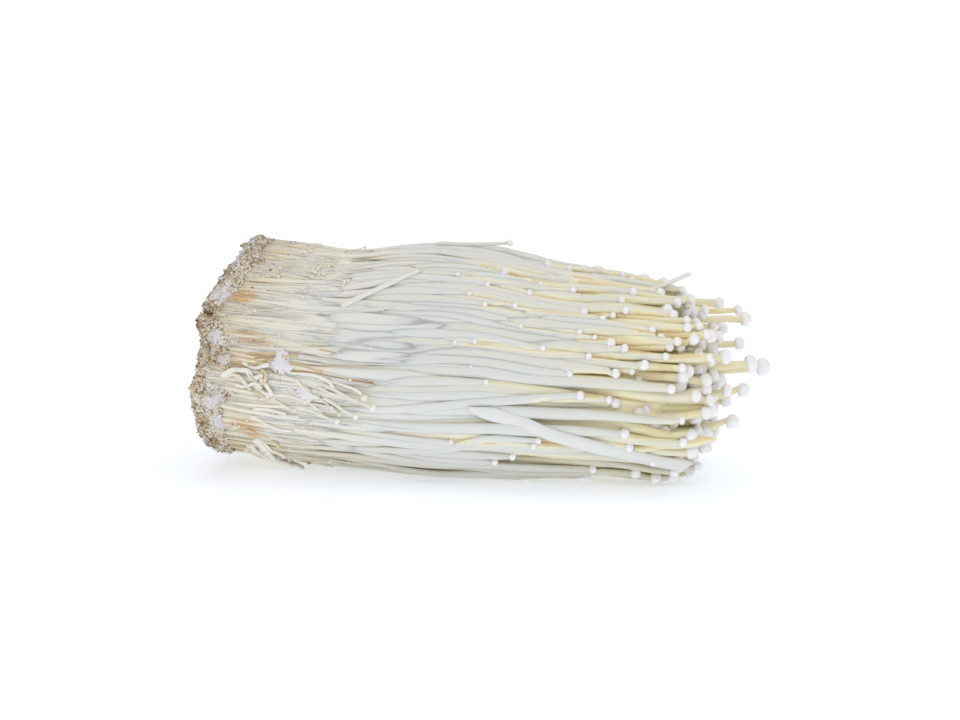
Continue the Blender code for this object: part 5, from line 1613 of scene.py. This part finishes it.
# strands on the side, by the places that they pass under, as seen(): along and height; then radius, how far they stand
# off the surface at their start and end, cap radius, and how dried out they are
LOOSE = (
    # the torn curl between the heel's middle and lower clumps
    (((-73.7, 26.6), (-71.2, 28.3), (-68.9, 28.7), (-66.6, 28.3), (-64.8, 26.2), (-62.1, 27.1)), 0.60, 0.9, 1.5, 0.0, 0.28),
    (((-68.0, 30.5), (-64.8, 29.2), (-62.1, 29.6), (-60.3, 30.1)), 0.48, 0.7, 1.3, 0.0, 0.22),
    (((-63.0, 26.4), (-61.2, 24.6), (-60.0, 22.3), (-60.3, 21.4)), 0.50, 1.5, 0.8, 0.0, 0.24),
    (((-64.8, 24.6), (-62.1, 22.8), (-60.7, 21.4), (-63.4, 20.0)), 0.44, 1.1, 0.7, 0.0, 0.35),
    (((-73.4, 26.0), (-71.2, 27.3), (-69.4, 27.1), (-67.5, 25.5), (-65.7, 23.2)), 0.48, 0.6, 1.2, 0.0, 0.4),
    (((-66.0, 27.6), (-63.4, 25.2), (-61.6, 25.6), (-61.2, 27.6), (-62.4, 28.9)), 0.34, 1.7, 1.9, 0.0, 0.5),
    (((-70.0, 24.4), (-67.0, 24.0), (-64.2, 25.4), (-62.6, 24.0)), 0.40, 0.7, 1.5, 0.0, 0.18),
    (((-69.5, 22.8), (-66.5, 21.8), (-63.5, 22.2), (-61.0, 20.6)), 0.32, 0.6, 0.9, 0.0, 0.5),
    # rust-edged strands above it, and the brown ones that run on from it
    (((-67.5, 29.6), (-62.1, 31.0), (-57.5, 32.1), (-52.6, 32.8)), 0.26, 0.7, 0.8, 0.0, 0.8),
    (((-65.8, 33.3), (-59.4, 33.0), (-55.0, 32.6), (-52.9, 32.3)), 0.25, 0.5, 0.6, 0.0, 0.66),
    (((-64.5, 32.0), (-60.0, 32.2), (-56.0, 31.4)), 0.21, 0.7, 0.5, 0.0, 0.92),
    (((-55.2, 28.3), (-50.2, 28.3), (-46.1, 27.4), (-39.3, 26.0), (-31.6, 24.8)), 0.16, 0.5, 0.25, 0.0, 0.97),
    (((-57.0, 29.8), (-53.0, 29.9), (-49.0, 28.9), (-46.0, 27.9)), 0.21, 0.6, 0.4, 0.0, 0.72),
    (((-46.6, 34.2), (-39.3, 33.0), (-35.3, 32.3)), 0.14, 0.4, 0.2, 0.0, 0.9),
    # pale ones splayed below and to the right of it
    (((-55.7, 27.8), (-48.4, 27.4), (-43.9, 25.5), (-42.0, 22.8)), 0.40, 0.5, 0.7, 0.0, 0.22),
    (((-53.0, 26.0), (-50.2, 22.8), (-47.0, 20.5)), 0.38, 0.6, 0.5, 0.0, 0.26),
    (((-55.0, 24.0), (-51.5, 21.0), (-48.0, 18.0), (-45.5, 15.5)), 0.32, 0.5, 0.5, 0.0, 0.32),
    (((-58.0, 22.0), (-54.0, 21.4), (-50.0, 19.4)), 0.34, 0.5, 0.6, 0.6, 0.3),
    (((-60.0, 20.5), (-57.0, 18.4), (-53.0, 17.0)), 0.36, 0.6, 0.8, 0.7, 0.35),
    (((-65.0, 17.5), (-60.0, 17.0), (-55.7, 16.0)), 0.38, 0.5, 0.7, 0.0, 0.22),
    (((-66.0, 15.5), (-62.0, 13.6), (-58.0, 12.2), (-54.0, 11.6)), 0.36, 0.4, 0.6, 0.0, 0.25),
    (((-47.0, 23.8), (-43.5, 22.4), (-39.5, 21.0), (-35.5, 20.2)), 0.34, 0.4, 0.9, 0.8, 0.3),
    (((-44.0, 25.6), (-40.0, 24.2), (-36.0, 22.8), (-32.8, 20.6)), 0.35, 0.4, 1.2, 1.1, 0.25),
    (((-47.5, 21.5), (-45.0, 19.5), (-42.5, 17.2), (-40.5, 16.0)), 0.32, 0.4, 0.8, 0.7, 0.35),
    (((-66.0, 10.5), (-63.0, 8.0), (-60.0, 6.0)), 0.31, 0.4, 0.6, 0.0, 0.72),
    (((-65.0, 9.0), (-62.0, 6.4), (-58.5, 4.6)), 0.28, 0.4, 0.6, 0.0, 0.6),
    (((-66.5, 12.0), (-63.5, 10.4), (-59.5, 8.6), (-57.0, 6.6)), 0.25, 0.4, 0.5, 0.0, 0.8),
)


def lay_loose(piece, passes, r, off0, off1, cap, age):
    spots = np.array([under(x, v) for x, v in passes])
    at = np.arange(len(passes), dtype=float)
    n = 5 * len(passes)
    t = np.linspace(0.0, at[-1], n)
    s, a = curve(t, at, spots[:, 0]), curve(t, at, spots[:, 1])
    u = t / at[-1]
    radii = r * (1.0 + 0.10 * np.sin(9.0 * u + 5.0 * age)) * np.minimum(1.0, 0.6 + 6.0 * u)
    rho = surface_at(s, a) + off0 + (off1 - off0) * u + 0.25 * np.sin(6.0 * u + 9.0 * r)
    lay_free(piece, s, a, rho, radii, age, cap, 9, 0.22, "torn" if cap == 0.0 else "round", 0.0, tilt=0.25)


def lay_pad(name):
    """A pad of loose mycelium, matted and lumpy, with threads at its rim."""
    s0, a0, half_s, half_w, thick = PADS[name]
    around, up = 96, 34
    v = np.pi * (np.arange(1, up) / up - 0.5)[:, None]
    t = 2 * np.pi * np.arange(around)[None] / around
    k = int(name[-1]) - 1
    r = np.cos(v) ** 0.7 * (1.0 + 0.15 * np.sin(3 * t + k) + 0.12 * np.sin(5 * t + 2 * k) + 0.09 * np.sin(11 * t + k) + 0.05 * np.sin(17 * t))
    s = s0 + half_s * r * np.cos(t)
    a = math.radians(a0) + half_w * r * np.sin(t) / 34.0
    h = -0.6 + (thick + 0.2) * (0.5 + 0.5 * np.sin(v)) * (1.0 + 0.12 * np.sin(4 * t + k) * np.cos(v))
    rho = surface_at(s.ravel(), a.ravel()).reshape(s.shape) + h
    raw = place(s, rho * np.cos(a), rho * np.sin(a), 0.1)
    bulge = 0.36 * lumps(raw, 1.5, 61 + k) + 0.26 * lumps(raw, 0.8, 63 + k) + 0.14 * lumps(raw, 0.42, 65 + k)
    rho = rho + bulge * np.clip(0.6 + np.sin(v), 0.2, 1.0)
    s = s + 0.3 * lumps(raw, 1.2, 67 + k)
    points = place(s, rho * np.cos(a), rho * np.sin(a), 0.1)
    tint = np.zeros(points.shape[:2] + (4,))
    rim = np.clip(1.0 - (np.sin(v) + 1.0) * 1.1, 0.0, 1.0) + 0 * t
    tint[..., 1] = 0.55 * rim * (0.5 + 0.5 * np.sin(2 * t + 3 * k))
    tint[..., 3] = 0.3 + 0.3 * np.sin(7 * t)
    piece = Piece("visible_" + name)
    piece.grid(points[::-1], tint[::-1], points[::-1])
    middle = points[-1].mean(0)
    count = 80 if k else 44
    j = rng.integers(0, around, size=count)
    at = points[rng.integers(6, 22, size=count), j]
    ways = unit(at - middle) + rng.normal(size=(count, 3)) * 0.5 + np.array([0.0, -0.5, 0.1])
    rust = (at[:, 0] > middle[0]) if k else (at[:, 2] < middle[2])
    tints = np.stack([np.zeros(count), np.where(rust, 1.0, 0.15), np.zeros(count), rng.uniform(0.1, 0.95, size=count)], -1)
    hairs(piece, at, ways, rng.uniform(0.6, 1.5, size=count), 0.07, tints)
    piece.make(COTTON, "mycelium", name)


def lay_extras():
    lay_outer()
    tangle = Piece("torn_strands")
    for row in LOOSE:
        lay_loose(tangle, *row)
    # a resinous crumb beneath, and a few torn ends round the other sides of the foot
    for x, v, size in ((-49.4, 2.4, 0.95), (-48.2, 2.0, 0.6), (-50.5, 2.7, 0.55)):
        at, a = under(x, v)
        rho = float(surface_at(at, a)) + 0.2
        crumbs(tangle, place(at, rho * math.cos(a), rho * math.sin(a), size)[None], [size], np.array([[0.0, 0.9, 0.0, 0.9]]))
    # a long one beside the broken stem, worn to a point
    spots = np.array([under(x, v) for x, v in ((26.0, 5.6), (40.0, 5.4), (52.0, 7.0), (60.0, 8.0), (64.6, 8.2))])
    at = np.arange(5.0)
    u = np.linspace(0.0, 4.0, 22)
    s, a = curve(u, at, spots[:, 0]), curve(u, at, spots[:, 1])
    radii = 1.25 * np.clip(0.35 + u / 1.6, 0.0, 1.0) * np.clip(0.34 + (4.0 - u) / 1.9, 0.0, 1.0)
    spare = Piece("visible_worn_stem")
    lay_free(spare, s, a, surface_at(s, a) - 0.2 + 0.7 * ease((u - 1.0) / 1.5), radii, 0.3, 0.0, 12, 0.0, "blunt", 0.0, seam_shade=0.2)
    spare.make(FLESH, "packed_stems")
    for k in range(26):
        a0 = math.radians(rng.uniform(-80.0, 70.0))
        s0 = rng.uniform(-66.0, -54.0)
        u = np.linspace(0.0, 1.0, 9)
        reach = rng.uniform(5.0, 15.0)
        s = s0 + reach * u
        a = a0 + rng.normal() * 0.16 * u * u + 0.03 * np.sin(4.0 * u + k)
        rho = surface_at(s, a) + 0.5 + rng.uniform(0.0, 1.2) * u
        lay_free(tangle, s, a, rho, rng.uniform(0.28, 0.55) * np.minimum(1.0, 0.6 + 5.0 * u), rng.uniform(0.1, 0.6), 0.0, 8, 0.2, "torn")
    tangle.make(DRIED, "torn_stem")
    for name in PADS:
        lay_pad(name)


lay_extras()




# ---------------------------------------------------------------- floor, light and camera
def stage():
    floor_mesh = bpy.data.meshes.new("floor")
    n = 24
    xs = np.linspace(-6.0, 6.0, n + 1)
    verts = [(x, y, -0.0002) for y in xs for x in xs]
    faces = [(j * (n + 1) + i, j * (n + 1) + i + 1, (j + 1) * (n + 1) + i + 1, (j + 1) * (n + 1) + i) for j in range(n) for i in range(n)]
    floor_mesh.from_pydata(verts, [], faces)
    floor = bpy.data.objects.new("floor", floor_mesh)
    bpy.context.scene.collection.objects.link(floor)
    paper = bpy.data.materials.new("floor_paper")
    paper.use_nodes = True
    shader = paper.node_tree.nodes["Principled BSDF"]
    shader.inputs["Base Color"].default_value = (0.75, 0.81, 0.905, 1.0)
    shader.inputs["Emission Color"].default_value = (1.0, 1.0, 1.0, 1.0)
    # a little less of its own light where the lamps reach it, so that it is evenly white
    tree = paper.node_tree
    where = tree.nodes.new("ShaderNodeTexCoord")
    far = tree.nodes.new("ShaderNodeVectorMath")
    far.operation = "LENGTH"
    reach = tree.nodes.new("ShaderNodeMapRange")
    reach.interpolation_type = "SMOOTHSTEP"
    reach.inputs["From Min"].default_value = 0.15
    reach.inputs["From Max"].default_value = 1.5
    reach.inputs["To Min"].default_value = 0.408
    reach.inputs["To Max"].default_value = 0.57
    tree.links.new(where.outputs["Object"], far.inputs[0])
    tree.links.new(far.outputs["Value"], reach.inputs["Value"])
    tree.links.new(reach.outputs[0], shader.inputs["Emission Strength"])
    shader.inputs["Roughness"].default_value = 0.7
    shader.inputs["Specular IOR Level"].default_value = 0.2
    floor_mesh.materials.append(paper)

    world = bpy.data.worlds.new("studio")
    bpy.context.scene.world = world
    world.use_nodes = True
    back = world.node_tree.nodes["Background"]
    back.inputs["Color"].default_value = (1.0, 1.0, 1.0, 1.0)
    back.inputs["Strength"].default_value = 0.64

    def softbox(name, at, size, power, colour=(1.0, 1.0, 1.0)):
        data = bpy.data.lights.new(name, "AREA")
        data.shape = "RECTANGLE"
        data.size, data.size_y = size
        data.energy = power
        data.color = colour
        lamp = bpy.data.objects.new(name, data)
        lamp.location = at
        lamp.rotation_mode = "QUATERNION"
        lamp.rotation_quaternion = (Vector(at) - Vector((0.0, 0.0, 0.03))).to_track_quat("Z", "Y")
        bpy.context.scene.collection.objects.link(lamp)

    softbox("overhead", (0.05, 0.12, 0.95), (1.0, 0.8), 1.9)
    softbox("front", (-0.02, -1.0, 0.60), (1.1, 0.6), 1.8)

    camera = bpy.data.cameras.new("camera")
    camera.sensor_width = 36.0
    camera.lens = 36.0 * DISTANCE / (960 * 0.28)
    camera.clip_start, camera.clip_end = 0.05, 50.0
    eye = bpy.data.objects.new("camera", camera)
    aim = (AIM - RIGHT * (3 * 0.28 + 0.6) + UPWARD * (6.0 * 0.28)) / 1000.0
    eye.location = Vector(aim - AHEAD * DISTANCE / 1000.0)
    eye.rotation_mode = "QUATERNION"
    eye.rotation_quaternion = Vector(-AHEAD).to_track_quat("Z", "Y")
    bpy.context.scene.collection.objects.link(eye)
    bpy.context.scene.camera = eye
    bpy.context.scene.view_settings.view_transform = "Standard"


stage()
bpy.context.view_layer.update()
